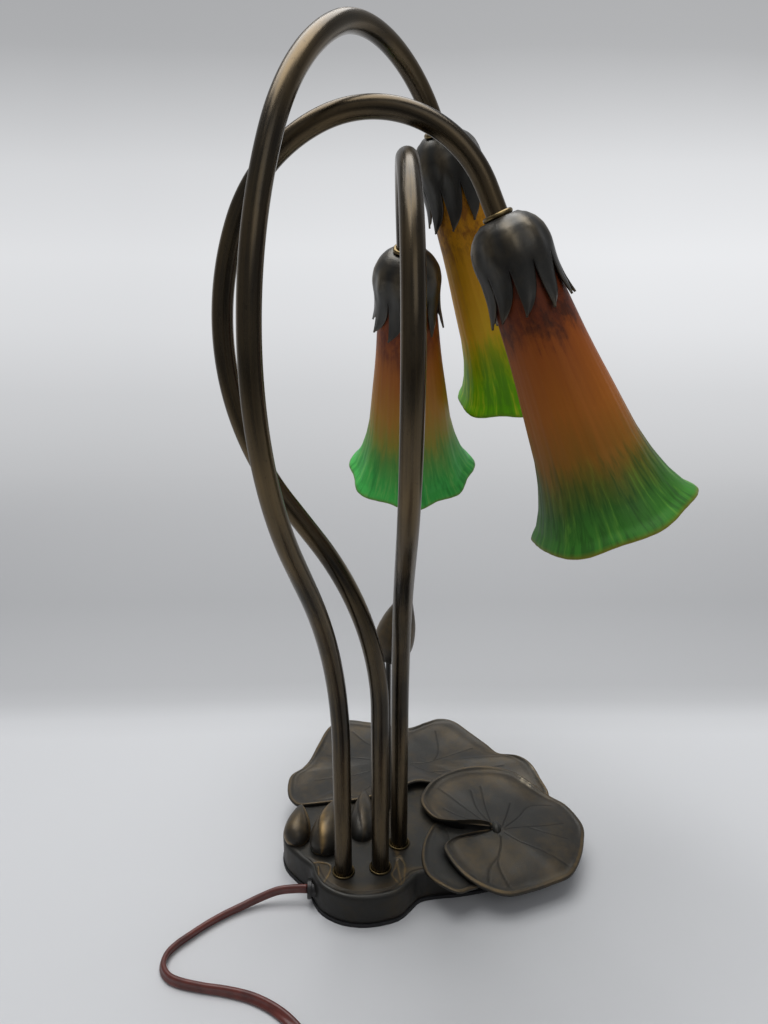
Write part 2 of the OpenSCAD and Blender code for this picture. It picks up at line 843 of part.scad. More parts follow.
module locknut(i) {
    color(steel)
        at_tip(i)
            translate([0, 0, calyx_plate()])
                hex_nut(tip_nut_h, fit_r);
}

// The socket: bored above for the stem, with a well below for the screw shell.
module socket(i) {
    color(phenolic)
        at_tip(i)
            difference() {
                union() {
                    translate([0, 0, socket_top])
                        cylinder(h = socket_end - socket_top, d = socket_d);
                    translate([0, 0, socket_seat()])
                        cylinder(h = flange_t, d = flange_d);
                }
                translate([0, 0, socket_top - 1])
                    cylinder(h = tube_tip - socket_top + 1 + bore_gap, r = fit_r);
                translate([0, 0, socket_top])
                    cylinder(h = tube_tip + 6 - socket_top, r = lead_d / 2 + 0.2);
                translate([0, 0, contact_z])
                    cylinder(h = socket_end, r = cap_d / 2 + shell_gap + shell_t + bore_gap);
            }
}

module screw_shell(i) {
    color(brass)
        at_tip(i)
            translate([0, 0, shell_top])
                linear_extrude(cap_h + 1)
                    ring_2d(cap_d / 2 + shell_gap + shell_t, cap_d / 2 + shell_gap);
}

module contact(i) {
    color(brass)
        at_tip(i)
            translate([0, 0, contact_z])
                cylinder(h = contact_t, r = 4);
}

module shade_ring(i) {
    color(black)
        at_tip(i)
            translate([0, 0, shade_ring_z])
                linear_extrude(shade_ring_h)
                    ring_2d(shade_ring_d / 2, socket_d / 2 + bore_gap);
}

// The glass's outer profile: [distance from the ring, radius].
shade_rows = [
    [lip_top, 0.48 * neck_d], [lip_top + lip_h, neck_d / 2], [slit_top, 0.507 * neck_d],
    [calyx_h, throat_d / 2], [0.44 * shade_end, 0.555 * throat_d],
    [0.596 * shade_end, 0.64 * throat_d], [0.738 * shade_end, 0.472 * waist_d],
    [0.83 * shade_end, 0.528 * waist_d], [0.908 * shade_end, 0.596 * waist_d],
    [0.965 * shade_end, 0.672 * waist_d], [shade_end, mouth_d / 2]
];

// A point of the glass: s along the axis, a round it, on the skin or the inside of the wall.
function glass_point(s, a, depth) =
    let (
        share = max(0, (s / shade_end - flare_from) / (1 - flare_from)),
        swell = ruffle * pow(share, 3) * cos(ruffles * a),
        r = smooth_at(shade_rows, s) + swell - depth
    )
    [r * cos(a), r * sin(a), s + 0.6 * swell];

// Glass of even wall, open below, with a hole above for the socket.
module shade(i) {
    columns = 6 * ruffles;
    down = [
        lip_top, lip_top + lip_h, slit_top + 2, calyx_h,
        for (part = [0.468, 0.624, 0.752, 0.844, 0.915, 0.965, 1]) part * shade_end
    ];
    up = [for (k = [len(down) - 1 : -1 : 2]) down[k]];
    hole = socket_d / 2 + 0.4;
    rings = concat(
        [[hole, lip_top]],
        [for (s = down) [0, s]],
        [for (s = up) [1, s]],
        [[2, lip_top + lip_h], [hole, lip_top + lip_h]]
    );
    points = [
        for (ring = rings) for (k = [0 : columns - 1])
            let (a = -360 * k / columns)
            ring[0] > 2 ? [ring[0] * cos(a), ring[0] * sin(a), ring[1]]
            : ring[0] == 2 ? glass_point(ring[1], a, glass_t)
            : glass_point(ring[1], a, glass_t * ring[0])
    ];
    last = len(rings) - 1;
    seam = [
        for (j = [0 : columns - 1])
            let (a = last * columns + j, b = last * columns + (j + 1) % columns)
            each [[a, b, (j + 1) % columns], [a, (j + 1) % columns, j]]
    ];
    color(amber)
        at_tip(i)
            polyhedron(points, concat(grid_faces(last + 1, columns), seam), convexity = 8);
}

module bulb_cap(i) {
    color(brass)
        at_tip(i)
            difference() {
                union() {
                    translate([0, 0, cap_top])
                        cylinder(h = cap_h, d = cap_d);
                    translate([0, 0, contact_z + contact_t + seat_gap])
                        cylinder(h = cap_top - contact_z - contact_t - seat_gap, r1 = 2, r2 = 4);
                }
                translate([0, 0, cap_top + 1])
                    cylinder(h = cap_h, r = cap_d / 2 - 0.4);
            }
}

// The bulb's glass: [distance below the cap's top, radius].
bulb_rows = [
    [0, cap_d / 2 - 0.6], [4, cap_d / 2 - 0.6], [10, cap_d / 2 + 0.4],
    [bulb_h * 0.35, bulb_d / 2 - 1.8], [bulb_h * 0.55, bulb_d / 2],
    [bulb_h * 0.75, bulb_d / 2 - 1.2], [bulb_h * 0.92, bulb_d / 4 + 0.6], [bulb_h, 0]
];

module bulb_glass(i) {
    steps = [for (k = [0 : 24]) k * bulb_h / 24];
    skin = [for (s = steps) [max(smooth_at(bulb_rows, s), 0), s]];
    inside = [for (p = skin) if (p[0] > 1.2 && p[1] < bulb_h - 2) [p[0] - 0.8, p[1]]];
    color(bulb_white)
        at_tip(i)
            translate([0, 0, cap_top + cap_h - 4])
                rotate_extrude()
                    polygon(concat(
                        skin,
                        [[0, bulb_h - 0.8]],
                        [for (k = [len(inside) - 1 : -1 : 0]) inside[k]]
                    ));
}

// ---- Cord, switch and plug ----

module cord_to_switch() {
    color(cord_brown)
        swept_tube(open_curve(route_to_switch, 2), cord_d / 2, cable_fn);
}

module cord_to_coil() {
    color(cord_brown)
        swept_tube(open_curve(route_to_coil, 2), cord_d / 2, cable_fn);
}

module cord_to_plug() {
    color(cord_brown)
        swept_tube(open_curve(route_to_plug, 2), cord_d / 2, cable_fn);
}

// The coil's centre line: a spiral in on the table, a climb, and a spiral out on top of it.
function coil_point(turn) =
    let (
        from_turning = turn - coil_turns,
        r = coil_out - coil_step * (coil_turns - abs(from_turning)),
        climb = min(max(2 * from_turning + 0.5, 0), 1),
        a = 90 + 360 * turn
    )
    [
        coil_centre[0] + r * cos(a), coil_centre[1] + r * sin(a),
        coil_lie + coil_step * climb * climb * (3 - 2 * climb)
    ];
coil_rings = 24;
coil_path = concat(
    [coil_in_at + [cord_d, 0, 0]],
    [for (k = [0 : 2 * coil_turns * coil_rings]) coil_point(k / coil_rings)],
    [coil_out_at - [cord_d, 0, 0]]
);
coil_gap = min([
    for (i = [0 : len(coil_path) - 1]) for (j = [i + coil_rings / 2 : len(coil_path) - 1])
        norm(coil_path[i] - coil_path[j]) - cord_d
]);
echo(coil_self_gap = coil_gap);

cord_lengths = [
    for (path = [
        coil_path, open_curve(route_to_switch, 2), open_curve(route_to_coil, 2),
        open_curve(route_to_plug, 2)
    ])
        for (i = [1 : len(path) - 1]) norm(path[i] - path[i - 1])
];
echo(cord_length = cord_lengths * [for (piece = cord_lengths) 1]);

module cord_coil() {
    color(cord_brown)
        swept_tube(coil_path, cord_d / 2, coil_fn);
}

// A strap round all the turns, on the side away from the plug.
module cord_tie() {
    inner_w = coil_step * coil_turns + 2 * cord_d / 2 + 1;
    inner_h = 2 * cord_lie + coil_step + 0.6;
    color(black)
        translate([coil_centre[0], coil_centre[1], 0])
            rotate([0, 0, -60])
                translate([coil_r + coil_step * 0.25, tie_w / 2, 0])
                    rotate([90, 0, 0])
                        linear_extrude(tie_w)
                            difference() {
                                translate([-inner_w / 2 - tie_t, 0])
                                    square([inner_w + 2 * tie_t, inner_h + 2 * tie_t]);
                                translate([-inner_w / 2, tie_t])
                                    square([inner_w, inner_h]);
                            }
}

wheel_at = switch_at + [switch_l / 2, wheel_d / 2 - switch_w / 2 - wheel_out, switch_h / 2];
wheel_pin_r = 2;
switch_screw_places = [switch_at + [9, 8.2, 0], switch_at + [switch_l - 9, 8.2, 0]];
switch_screw_r = 1.2;
switch_head_r = 2.2;
switch_head_h = 1.2;

// The outline of the switch's body from above, with round corners, moved inwards by less.
module switch_2d(less = 0) {
    r = 6;
    translate([switch_at[0] + switch_l / 2, switch_at[1]])
        polygon([
            for (corner = [[1, 1, 0], [-1, 1, 90], [-1, -1, 180], [1, -1, 270]])
                for (a = [0 : 15 : 90])
                    [
                        corner[0] * (switch_l / 2 - r) + (r - less) * cos(corner[2] + a),
                        corner[1] * (switch_w / 2 - r) + (r - less) * sin(corner[2] + a)
                    ]
        ]);
}

// One half of the switch's shell, from z = 0 to the joint line.
module switch_half() {
    difference() {
        linear_extrude(switch_h / 2)
            switch_2d();
        translate([0, 0, switch_wall])
            linear_extrude(switch_h)
                switch_2d(switch_wall);
        translate([wheel_at[0], wheel_at[1], switch_h / 2 - wheel_t / 2 - seat_gap])
            cylinder(h = switch_h, r = wheel_d / 2 + 0.5);
        translate([switch_at[0] - 1, switch_at[1], switch_h / 2])
            rotate([0, 90, 0])
                cylinder(h = switch_l + 2, r = cord_d / 2 - 0.6);
    }
    for (p = switch_screw_places)
        translate([p[0], p[1], switch_wall / 2])
            difference() {
                cylinder(h = (switch_h - switch_wall) / 2, r = 3);
                translate([0, 0, -1])
                    cylinder(h = switch_h, r = switch_screw_r + bore_gap);
            }
}

module switch_bottom() {
    color(cord_brown) {
        difference() {
            switch_half();
            for (p = switch_screw_places)
                translate([p[0], p[1], -1]) {
                    cylinder(h = switch_h, r = switch_screw_r + bore_gap);
                    cylinder(h = switch_head_h + 1, r = switch_head_r + bore_gap);
                }
        }
        translate([wheel_at[0], wheel_at[1], switch_wall / 2])
            cylinder(h = switch_h - 1.5 * switch_wall - 0.1, r = wheel_pin_r);
    }
}

// The upper half is the lower one turned over, with its wheel slot on the same side.
module switch_top() {
    color(cord_brown)
        translate([0, 0, switch_h])
            mirror([0, 0, 1])
                switch_half();
}

module switch_wheel() {
    color(black)
        translate([wheel_at[0], wheel_at[1], wheel_at[2] - wheel_t / 2])
            difference() {
                cylinder(h = wheel_t, d = wheel_d);
                translate([0, 0, -1])
                    cylinder(h = wheel_t + 2, r = wheel_pin_r + bore_gap);
                for (k = [0 : 17])
                    rotate([0, 0, 20 * k])
                        translate([wheel_d / 2 + 0.3, 0, -1])
                            cylinder(h = wheel_t + 2, r = 0.8);
            }
}

// Two sprung strips that the wheel presses together.
module switch_contacts() {
    color(brass)
        for (away = [0.8, 2.4])
            translate([wheel_at[0] - 14, wheel_at[1] + wheel_d / 2 + away, switch_wall])
                cube([28, 0.5, switch_h - 2 * switch_wall - 0.3]);
}

module switch_screws() {
    color(steel)
        for (p = switch_screw_places)
            translate([p[0], p[1], 0.2]) {
                cylinder(h = switch_head_h - 0.2, r = switch_head_r);
                cylinder(h = switch_h - switch_wall - 0.4, r = switch_screw_r);
            }
}

// The moulded plug: a wide front and a grip that narrows to the cord.
module plug_body() {
    color(cord_brown)
        translate(plug_at - [0, 0, plug_h / 2])
            difference() {
                linear_extrude(plug_h)
                    polygon([
                        [0, -4.5], [-3, -5.5], [-9, -6], [-14, -plug_w / 2 + 1.5],
                        [-18, -plug_w / 2], [-plug_l, -plug_w / 2], [-plug_l, plug_w / 2],
                        [-18, plug_w / 2], [-14, plug_w / 2 - 1.5], [-9, 6], [-3, 5.5], [0, 4.5]
                    ]);
                for (side = [-1, 1])
                    translate([-plug_l - 1, side * blade_gap / 2 - 0.8, plug_h / 2 - 3.25])
                        cube([9, 1.6, 6.5]);
            }
}

module plug_blades() {
    color(steel)
        for (side = [-1, 1])
            translate(plug_at + [-plug_l - blade_l, side * blade_gap / 2 - 0.75, -3.15])
                cube([blade_l + 7.9, 1.5, 6.3]);
}

base_casting();
bottom_plate();
foam_pad();
bottom_screws();
cord_bushing();
foot_collars();
foot_washers();
foot_nuts();
wire_connectors();
inner_cord();
bud_rod();
closed_bud();
stem(0);  // left_stem
stem(1);  // middle_stem
stem(2);  // right_stem
lead(0);  // left_lead
lead(1);  // middle_lead
lead(2);  // right_lead
tip_ring(0);  // left_tip_ring
tip_ring(1);  // middle_tip_ring
tip_ring(2);  // right_tip_ring
calyx(0);  // left_calyx
calyx(1);  // middle_calyx
calyx(2);  // right_calyx
locknut(0);  // left_locknut
locknut(1);  // middle_locknut
locknut(2);  // right_locknut
socket(0);  // left_socket
socket(1);  // middle_socket
socket(2);  // right_socket
screw_shell(0);  // left_screw_shell
screw_shell(1);  // middle_screw_shell
screw_shell(2);  // right_screw_shell
contact(0);  // left_contact
contact(1);  // middle_contact
contact(2);  // right_contact
shade_ring(0);  // left_shade_ring
shade_ring(1);  // middle_shade_ring
shade_ring(2);  // right_shade_ring
shade(0);  // left_shade
shade(1);  // middle_shade
shade(2);  // right_shade
bulb_cap(0);  // left_bulb_cap
bulb_cap(1);  // middle_bulb_cap
bulb_cap(2);  // right_bulb_cap
bulb_glass(0);  // left_bulb_glass
bulb_glass(1);  // middle_bulb_glass
bulb_glass(2);  // right_bulb_glass
cord_to_switch();
cord_to_coil();
cord_coil();
cord_to_plug();
cord_tie();
switch_bottom();
switch_top();
switch_wheel();
switch_contacts();
switch_screws();
plug_body();
plug_blades();
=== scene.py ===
"""Tulip shade table lamp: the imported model, dressed for its looks.

Lengths are millimetres in the model's frame until a mesh is made. A shape is a grid of points,
rows x columns x 3, and each square of the grid is one face. Beside its place, a point may carry
"straight", where it would be on an unbent piece, and "wear", "dark" and "pale", from 0 to 1.
"""
from math import radians

import bmesh
import bpy
import numpy as np
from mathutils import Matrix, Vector


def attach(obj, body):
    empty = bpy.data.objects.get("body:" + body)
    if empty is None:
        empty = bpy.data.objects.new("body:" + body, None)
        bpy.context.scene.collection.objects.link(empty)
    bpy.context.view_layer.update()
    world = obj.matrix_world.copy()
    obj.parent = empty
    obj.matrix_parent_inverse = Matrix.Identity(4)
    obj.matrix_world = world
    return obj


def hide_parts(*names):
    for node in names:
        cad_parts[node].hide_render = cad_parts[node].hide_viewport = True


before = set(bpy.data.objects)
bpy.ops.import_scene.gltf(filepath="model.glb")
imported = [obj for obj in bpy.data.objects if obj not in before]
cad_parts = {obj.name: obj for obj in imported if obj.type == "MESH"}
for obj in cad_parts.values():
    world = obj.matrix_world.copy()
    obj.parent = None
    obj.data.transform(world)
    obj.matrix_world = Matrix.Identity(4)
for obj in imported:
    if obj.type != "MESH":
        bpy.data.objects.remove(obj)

MM = 0.001
UP = np.array([0.0, 0.0, 1.0])
MERGE = 1e-6
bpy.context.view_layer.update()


def in_scene(name, data):
    made = bpy.data.objects.new(name, data)
    bpy.context.scene.collection.objects.link(made)
    return made


# ---- Camera ----

camera = in_scene("camera", bpy.data.cameras.new("camera"))
camera.location = (0, -0.34595, 0.32844)
camera.rotation_euler = (radians(73), 0, 0)
camera.data.lens = 27.04
camera.data.sensor_width = 36
camera.data.clip_start = 0.01
bpy.context.scene.camera = camera


# ---- Curves ----

def between(p0, p1, p2, p3, t):
    """The smooth curve through p1 and p2 at share t: p1 + (t (p2 - p0) + t^2 (2 p0 - 5 p1 + 4 p2
    - p3) + t^3 (3 p1 - p0 - 3 p2 + p3)) / 2."""
    return p1 + (t * (p2 - p0) + t**2 * (2 * p0 - 5 * p1 + 4 * p2 - p3)
                 + t**3 * (3 * p1 - p0 - 3 * p2 + p3)) / 2


def curve_through(points, steps, closed=False):
    """The smooth curve through points, with the given steps to each span."""
    p = np.asarray(points, float)
    last = len(p) - 1
    i = np.arange(len(p) if closed else last)
    ends = [(i + k) % len(p) if closed else np.clip(i + k, 0, last) for k in (-1, 0, 1, 2)]
    t = (np.arange(steps) / steps)[None, :, None]
    spans = between(*(p[e][:, None] for e in ends), t).reshape(-1, p.shape[1])
    return spans if closed else np.vstack([spans, p[-1]])


def smooth_at(rows, x):
    """Values at x of the smooth curve through [place, value] rows."""
    place, value = np.asarray(rows, float).T
    i = np.clip(np.searchsorted(place, x, side="right") - 1, 0, len(place) - 2)
    ends = [value[np.clip(i + k, 0, len(place) - 1)] for k in (-1, 0, 1, 2)]
    return between(*ends, (x - place[i]) / (place[i + 1] - place[i]))


def smooth_round(rows, at):
    """Values at angles, in degrees, of the smooth closed curve through [angle, value] rows."""
    rows = sorted([a % 360, v] for a, v in rows)
    wrapped = [[a + turn, v] for turn in (-360, 0, 360) for a, v in rows]
    return smooth_at(wrapped, at % 360)


def even(path, step):
    """The path with its points set a step apart."""
    run = run_along(path)
    at = np.linspace(0, run[-1], int(run[-1] / step) + 2)
    return np.stack([np.interp(at, run, path[:, k]) for k in range(path.shape[1])], 1)


def run_along(path):
    """How far along the path each of its points is."""
    return np.r_[0, np.cumsum(np.linalg.norm(np.diff(path, axis=0), axis=1))]


def angles(first, last, count):
    """Angles given in degrees, evenly spaced."""
    return np.radians(np.linspace(first, last, count))


def all_round(count):
    """Angles of one whole turn, evenly spaced."""
    return np.linspace(0, 2 * np.pi, count, endpoint=False)


def unit(v):
    return v / np.linalg.norm(v, axis=-1, keepdims=True)


def hill(x, width):
    """A smooth hill of height 1, with the given half width."""
    return np.exp(-(x / width) ** 2)


def step_up(x, low, high):
    """0 below low, 1 above high, and a smooth S between."""
    t = np.clip((x - low) / (high - low), 0, 1)
    return t * t * (3 - 2 * t)


def from_lines(points, lines):
    """The least distance, seen from above, from each point to any of the lines."""
    flat = points[..., None, :2]
    nearest = np.full(points.shape[:-1], np.inf)
    for line in lines:
        line = curve_through(line, 5)[:, :2]
        start, along = line[:-1], np.diff(line, axis=0)
        share = np.clip(((flat - start) * along).sum(-1) / (along**2).sum(-1), 0, 1)
        gap = np.linalg.norm(flat - start - share[..., None] * along, axis=-1).min(-1)
        nearest = np.minimum(nearest, gap)
    return nearest


# ---- Meshes ----

def grid_faces(rows, columns, around, along):
    """The squares of a grid: around closes its rows to rings, and along joins the last row to the
    first."""
    i = np.arange(rows if along else rows - 1)[:, None]
    j = np.arange(columns if around else columns - 1)[None, :]
    corners = [(i, j), (i + 1, j), (i + 1, j + 1), (i, j + 1)]
    return np.stack([(a % rows) * columns + b % columns for a, b in corners], -1).reshape(-1, 4)


def shown_mesh(name, mesh, material):
    """The object of a mesh, shaded smooth in one material."""
    mesh.polygons.foreach_set("use_smooth", [True] * len(mesh.polygons))
    mesh.materials.append(material)
    return in_scene(name, mesh)


def piece(name, shapes, material, replaces, body="lamp"):
    """One object made of shapes, each a dict of points and what they carry. In each shape, points
    that meet are merged, and its skin is turned to face outwards."""
    bm = bmesh.new()
    for shape in shapes:
        points = shape["points"]
        rows, columns = points.shape[:2]
        faces = grid_faces(rows, columns, shape.get("around", True), shape.get("along", False))
        mesh = bpy.data.meshes.new("shape")
        mesh.from_pydata(points.reshape(-1, 3) * MM, [], faces)
        for key in ("wear", "dark", "pale"):
            values = np.broadcast_to(shape.get(key, 0.0), (rows, columns)).astype(np.float32)
            mesh.attributes.new(key, "FLOAT", "POINT").data.foreach_set("value", values.ravel())
        straight = np.asarray(shape.get("straight", points) * MM, np.float32)
        mesh.attributes.new("straight", "FLOAT_VECTOR", "POINT").data.foreach_set(
            "vector", straight.ravel())
        skin = bmesh.new()
        skin.from_mesh(mesh)
        bmesh.ops.remove_doubles(skin, verts=skin.verts, dist=MERGE)
        if skin.calc_volume(signed=True) < 0:
            bmesh.ops.reverse_faces(skin, faces=skin.faces)
        skin.to_mesh(mesh)
        skin.free()
        bm.from_mesh(mesh)
        bpy.data.meshes.remove(mesh)
    mesh = bpy.data.meshes.new(name)
    bm.to_mesh(mesh)
    bm.free()
    made = shown_mesh(name, mesh, material)
    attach(made, body)
    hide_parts(*replaces)
    return made


def swept(path, section, side, across, roll=0.0):
    """A section carried along a path: point = path + x side + y across, with the section turned
    by roll at each row. Straight is the section's own x and y, and the run along the path."""
    section = np.broadcast_to(section, (len(path), *section.shape[-2:]))
    roll = np.broadcast_to(roll, len(path))[:, None]
    c, s = np.cos(roll), np.sin(roll)
    x = c * section[..., 0] - s * section[..., 1]
    y = s * section[..., 0] + c * section[..., 1]
    points = path[:, None] + x[..., None] * side[:, None] + y[..., None] * across[:, None]
    run = np.broadcast_to(run_along(path)[:, None], x.shape)
    return dict(points=points, straight=np.stack([section[..., 0], section[..., 1], run], -1))


def capped(shape):
    """The shape with a flat end on each side, drawn together at the middle of its end rows."""
    def middle(row):
        return np.broadcast_to(row.mean(1, keepdims=True), row.shape)

    return {key: np.concatenate([middle(grid[:1]), grid, middle(grid[-1:])])
            for key, grid in shape.items()}


def carried(path):
    """Two directions square to a path, carried along it with no twist of their own."""
    ahead = unit(np.gradient(path, axis=0))
    side = np.empty_like(ahead)
    before = np.cross(ahead[0], [0.2, 1.0, 0.1])
    for k, a in enumerate(ahead):
        before = before - a * (before @ a)
        before = before / np.linalg.norm(before)
        side[k] = before
    return side, np.cross(ahead, side)


def lathe(profile, columns):
    """A profile of [radius, height] rows turned about Z."""
    profile = np.asarray(profile, float)
    a = all_round(columns)
    r, z = profile[:, :1], profile[:, 1:]
    points = np.stack([r * np.cos(a), r * np.sin(a), z + 0 * a], -1)
    return dict(points=points, straight=points)


def moved(points, place):
    """Points moved by a 4 x 4 matrix."""
    return points @ place[:3, :3].T + place[:3, 3]


def placed(shape, place):
    """The shape with its points moved, and straight left as it was."""
    return {**shape, "points": moved(shape["points"], place)}


def shift(x, y, z):
    made = np.eye(4)
    made[:3, 3] = [x, y, z]
    return made


def turn(axis, degrees):
    """A turn about axis 2, Z, or axis 1, Y."""
    c, s = np.cos(radians(degrees)), np.sin(radians(degrees))
    i, j = (axis + 1) % 3, (axis + 2) % 3
    made = np.eye(4)
    made[[i, j, i, j], [i, j, j, i]] = [c, c, -s, s]
    return made


# ---- Materials ----

def blank(name, **sockets):
    """A new material, with constants set on its shader's own sockets."""
    made = bpy.data.materials.new(name)
    made.use_nodes = True
    return dress(made, **sockets)


def put(tree, kind, inputs, output=0, **settings):
    """Adds a node, and returns one of its outputs. An input is a constant or another output."""
    node = tree.nodes.new("ShaderNode" + kind)
    for key, value in settings.items():
        setattr(node, key, value)
    feed(node, inputs)
    return node.outputs[output]


def feed(node, inputs):
    for key, value in inputs.items():
        if isinstance(value, bpy.types.NodeSocket):
            node.id_data.links.new(value, node.inputs[key])
        else:
            node.inputs[key].default_value = value


def dress(made, **inputs):
    """Feeds the shader of a material."""
    feed(made.node_tree.nodes["Principled BSDF"],
         {key.replace("_", " "): value for key, value in inputs.items()})
    return made


def object_place(made):
    return put(made.node_tree, "TexCoord", {}, output="Object")


def carried_mark(made, name, output="Fac"):
    return put(made.node_tree, "Attribute", {}, output=output, attribute_name=name)


# What follows adds its nodes to the tree of its first output.

def noise(place, scale, detail=4.0, rough=0.5, stretch=(1, 1, 1), offset=(0, 0, 0), bend=0.0):
    """Noise with features about 1 / scale metres wide, shrunk along each axis by stretch."""
    tree = place.id_data
    at = put(tree, "Mapping", {"Vector": place, "Scale": stretch, "Location": offset})
    return put(tree, "TexNoise", {"Vector": at, "Scale": scale, "Detail": detail,
                                  "Roughness": rough, "Distortion": bend}, output="Fac")


def sums(kind, a, b):
    return put(a.id_data, "Math", {0: a, 1: b}, operation=kind)


def plus(a, b):
    return sums("ADD", a, b)


def times(a, b):
    return sums("MULTIPLY", a, b)


def spread(value, low, high, to_low=0.0, to_high=1.0):
    """The value read between low and high, as a share between to_low and to_high."""
    return put(value.id_data, "MapRange", {"Value": value, "From Min": low, "From Max": high,
                                           "To Min": to_low, "To Max": to_high})


def mixed(share, a, b):
    """Colour a where share is 0, and b where it is 1."""
    return put(share.id_data, "Mix", {0: share, 6: a, 7: b}, output=2, data_type="RGBA")


def ramp(value, stops):
    """A colour read from [place, colour] stops."""
    node = value.id_data.nodes.new("ShaderNodeValToRGB")
    band = node.color_ramp
    for k, (place, colour) in enumerate(stops):
        stop = band.elements[k] if k < 2 else band.elements.new(place)
        stop.position = place
        stop.color = colour
    feed(node, {"Fac": value})
    return node.outputs["Color"]


def bumps(height, distance, strength=1.0):
    return put(height.id_data, "Bump",
               {"Height": height, "Distance": distance, "Strength": strength})


def rgb(red, green, blue):
    """A colour given as on a screen, 0 to 255, as the shader wants it."""
    share = np.array([red, green, blue]) / 255
    line = np.where(share <= 0.04045, share / 12.92, ((share + 0.055) / 1.055) ** 2.4)
    return (*line, 1.0)


def stem_bronze():
    """Dark drawn tube: fine draw lines and a slow brown cloud along it, faint dark flecks, and a
    satin skin."""
    made = blank("stem_bronze", Metallic=0.92)
    at = carried_mark(made, "straight", "Vector")
    lines = noise(at, 700, 3, 0.6, stretch=(1, 1, 0.02))
    cloud = noise(at, 45, 3, 0.55, stretch=(1, 1, 0.3))
    fleck = noise(at, 700, 2, 0.5)
    tone = plus(spread(cloud, 0.35, 0.68, 0, 0.8),
                spread(lines, 0.3, 0.7, -0.12, 0.15))
    colour = mixed(tone, rgb(58, 54, 48), rgb(112, 95, 68))
    colour = mixed(spread(fleck, 0.6, 0.74, 0, 0.3), colour, rgb(42, 39, 36))
    return dress(made, Base_Color=colour,
                 Roughness=spread(plus(cloud, lines), 0.7, 1.3, 0.22, 0.34),
                 Normal=bumps(lines, 0.00001, 0.3))


def cast_bronze(name, dull, brown, gold, metal, clouding, rough):
    """Patinated casting: a dull skin with slow brown clouds and a faint fine mottle, rubbed
    through to gold where wear is carried, near black where dark is carried, which is painted
    shade under and between parts and a darkening along grooves and creases, chalky where pale
    is carried, with a soft unevenness and fine pits of the cast surface."""
    made = blank(name, Metallic=metal)
    at = object_place(made)
    cloud = noise(at, 34, 4, 0.6)
    mottle = noise(at, 260, 4, 0.6, offset=(3, 1, 2))
    pits = noise(at, 1500, 2, 0.5)
    wear = carried_mark(made, "wear")
    dark = carried_mark(made, "dark")
    tone = plus(spread(cloud, 0.47, 0.7, 0, clouding),
                spread(mottle, 0.4, 0.7, -0.1, 0.14))
    skin = mixed(tone, dull, brown)
    rub = times(wear, spread(mottle, 0.3, 0.65, 0.55, 1.0))
    skin = mixed(rub, skin, gold)
    chalk = times(carried_mark(made, "pale"), spread(mottle, 0.42, 0.56))
    skin = mixed(chalk, skin, rgb(176, 164, 142))
    # Painted shade under and between parts, and the darkening along grooves and creases: near black
    # where dark is carried.
    skin = mixed(dark, skin, rgb(16, 15, 14))
    height = plus(times(cloud, 2.0), times(pits, 0.4))
    return dress(made, Base_Color=skin,
                 Roughness=spread(plus(mottle, dark), 0.3, 1.1, rough, rough + 0.2),
                 Normal=bumps(height, 0.0003, 0.4))


def brushed_brass(name, light, stained):
    """Turned brass: brush marks round the axis and brown stains."""
    made = blank(name, Metallic=1.0)
    at = carried_mark(made, "straight", "Vector")
    ring = noise(at, 500, 3, 0.6, stretch=(0.3, 0.3, 2))
    stain = noise(at, 160, 3, 0.6)
    colour = mixed(spread(stain, 0.4, 0.7, 0, 0.8), light, stained)
    return dress(made, Base_Color=colour, Roughness=spread(ring, 0.3, 0.7, 0.24, 0.4),
                 Normal=bumps(ring, 0.00005, 0.5))


def art_glass(name, stops, streaks, streak_colours, edge, blotch):
    """Layered satin glass: its colour runs along the axis through stops, long flames of two other
    colours lie in the flare between the shares in streaks, dark blotches lie near its top, folds
    run along it in relief with a painted shade along them, and the rim is a thin line of its own
    colour."""
    made = blank(name, Roughness=0.5, IOR=1.5, Specular_IOR_Level=0.25)
    at = carried_mark(made, "straight", "Vector")
    s = put(made.node_tree, "SeparateXYZ", {"Vector": at}, output="Z")
    wander = noise(at, 42, 3, 0.6, stretch=(1, 1, 0.25))
    flame = noise(at, 330, 4, 0.65, stretch=(1, 1, 0.12), bend=0.4)
    blot = noise(at, 120, 4, 0.65, offset=(1, 2, 3))
    fold = noise(at, 260, 2, 0.5, stretch=(1, 1, 0.04))
    share = sums("DIVIDE", s, SHADE_END * MM)
    share = plus(share, spread(wander, 0.3, 0.7, -0.035, 0.035))
    share = plus(share, spread(flame, 0.3, 0.7, -0.03, 0.03))
    body = ramp(share, stops)
    # Painted shade along the folds: a darker copy of the stops, mixed in where the fold relief is
    # high.
    fold_shade_stops = [(place, (*(0.62 * c for c in colour[:3]), 1)) for place, colour in stops]
    body = mixed(spread(fold, 0.5, 0.72, 0, 0.2), body, ramp(share, fold_shade_stops))
    flare, high = spread(share, *streaks), spread(share, 0.42, 0.34)
    for where, mark, most, colour in (
            (flare, spread(flame, 0.5, 0.6), 0.5, streak_colours[0]),
            (flare, spread(flame, 0.46, 0.36), 0.5, streak_colours[1]),
            (high, spread(blot, 0.42, 0.6), 0.75, blotch)):
        body = mixed(times(times(where, mark), most), body, colour)
    body = mixed(carried_mark(made, "wear"), body, edge)
    grain = noise(at, 1500, 2, 0.5)
    height = plus(fold, times(grain, 0.15))
    return dress(made, Base_Color=body, Normal=bumps(height, 0.0003, 0.5))


def vinyl(name, colour, worn, rough=0.36):
    """Flexible vinyl: a soft sheen, faint die lines along it and a little grime."""
    made = blank(name, Specular_IOR_Level=0.5)
    at = carried_mark(made, "straight", "Vector")
    lines = noise(at, 1500, 2, 0.5, stretch=(1, 1, 0.05))
    grime = noise(at, 120, 4, 0.6)
    return dress(made, Base_Color=mixed(spread(grime, 0.35, 0.7), colour, worn),
                 Roughness=spread(grime, 0.3, 0.7, rough - 0.07, rough + 0.1),
                 Normal=bumps(lines, 0.00008, 0.5))


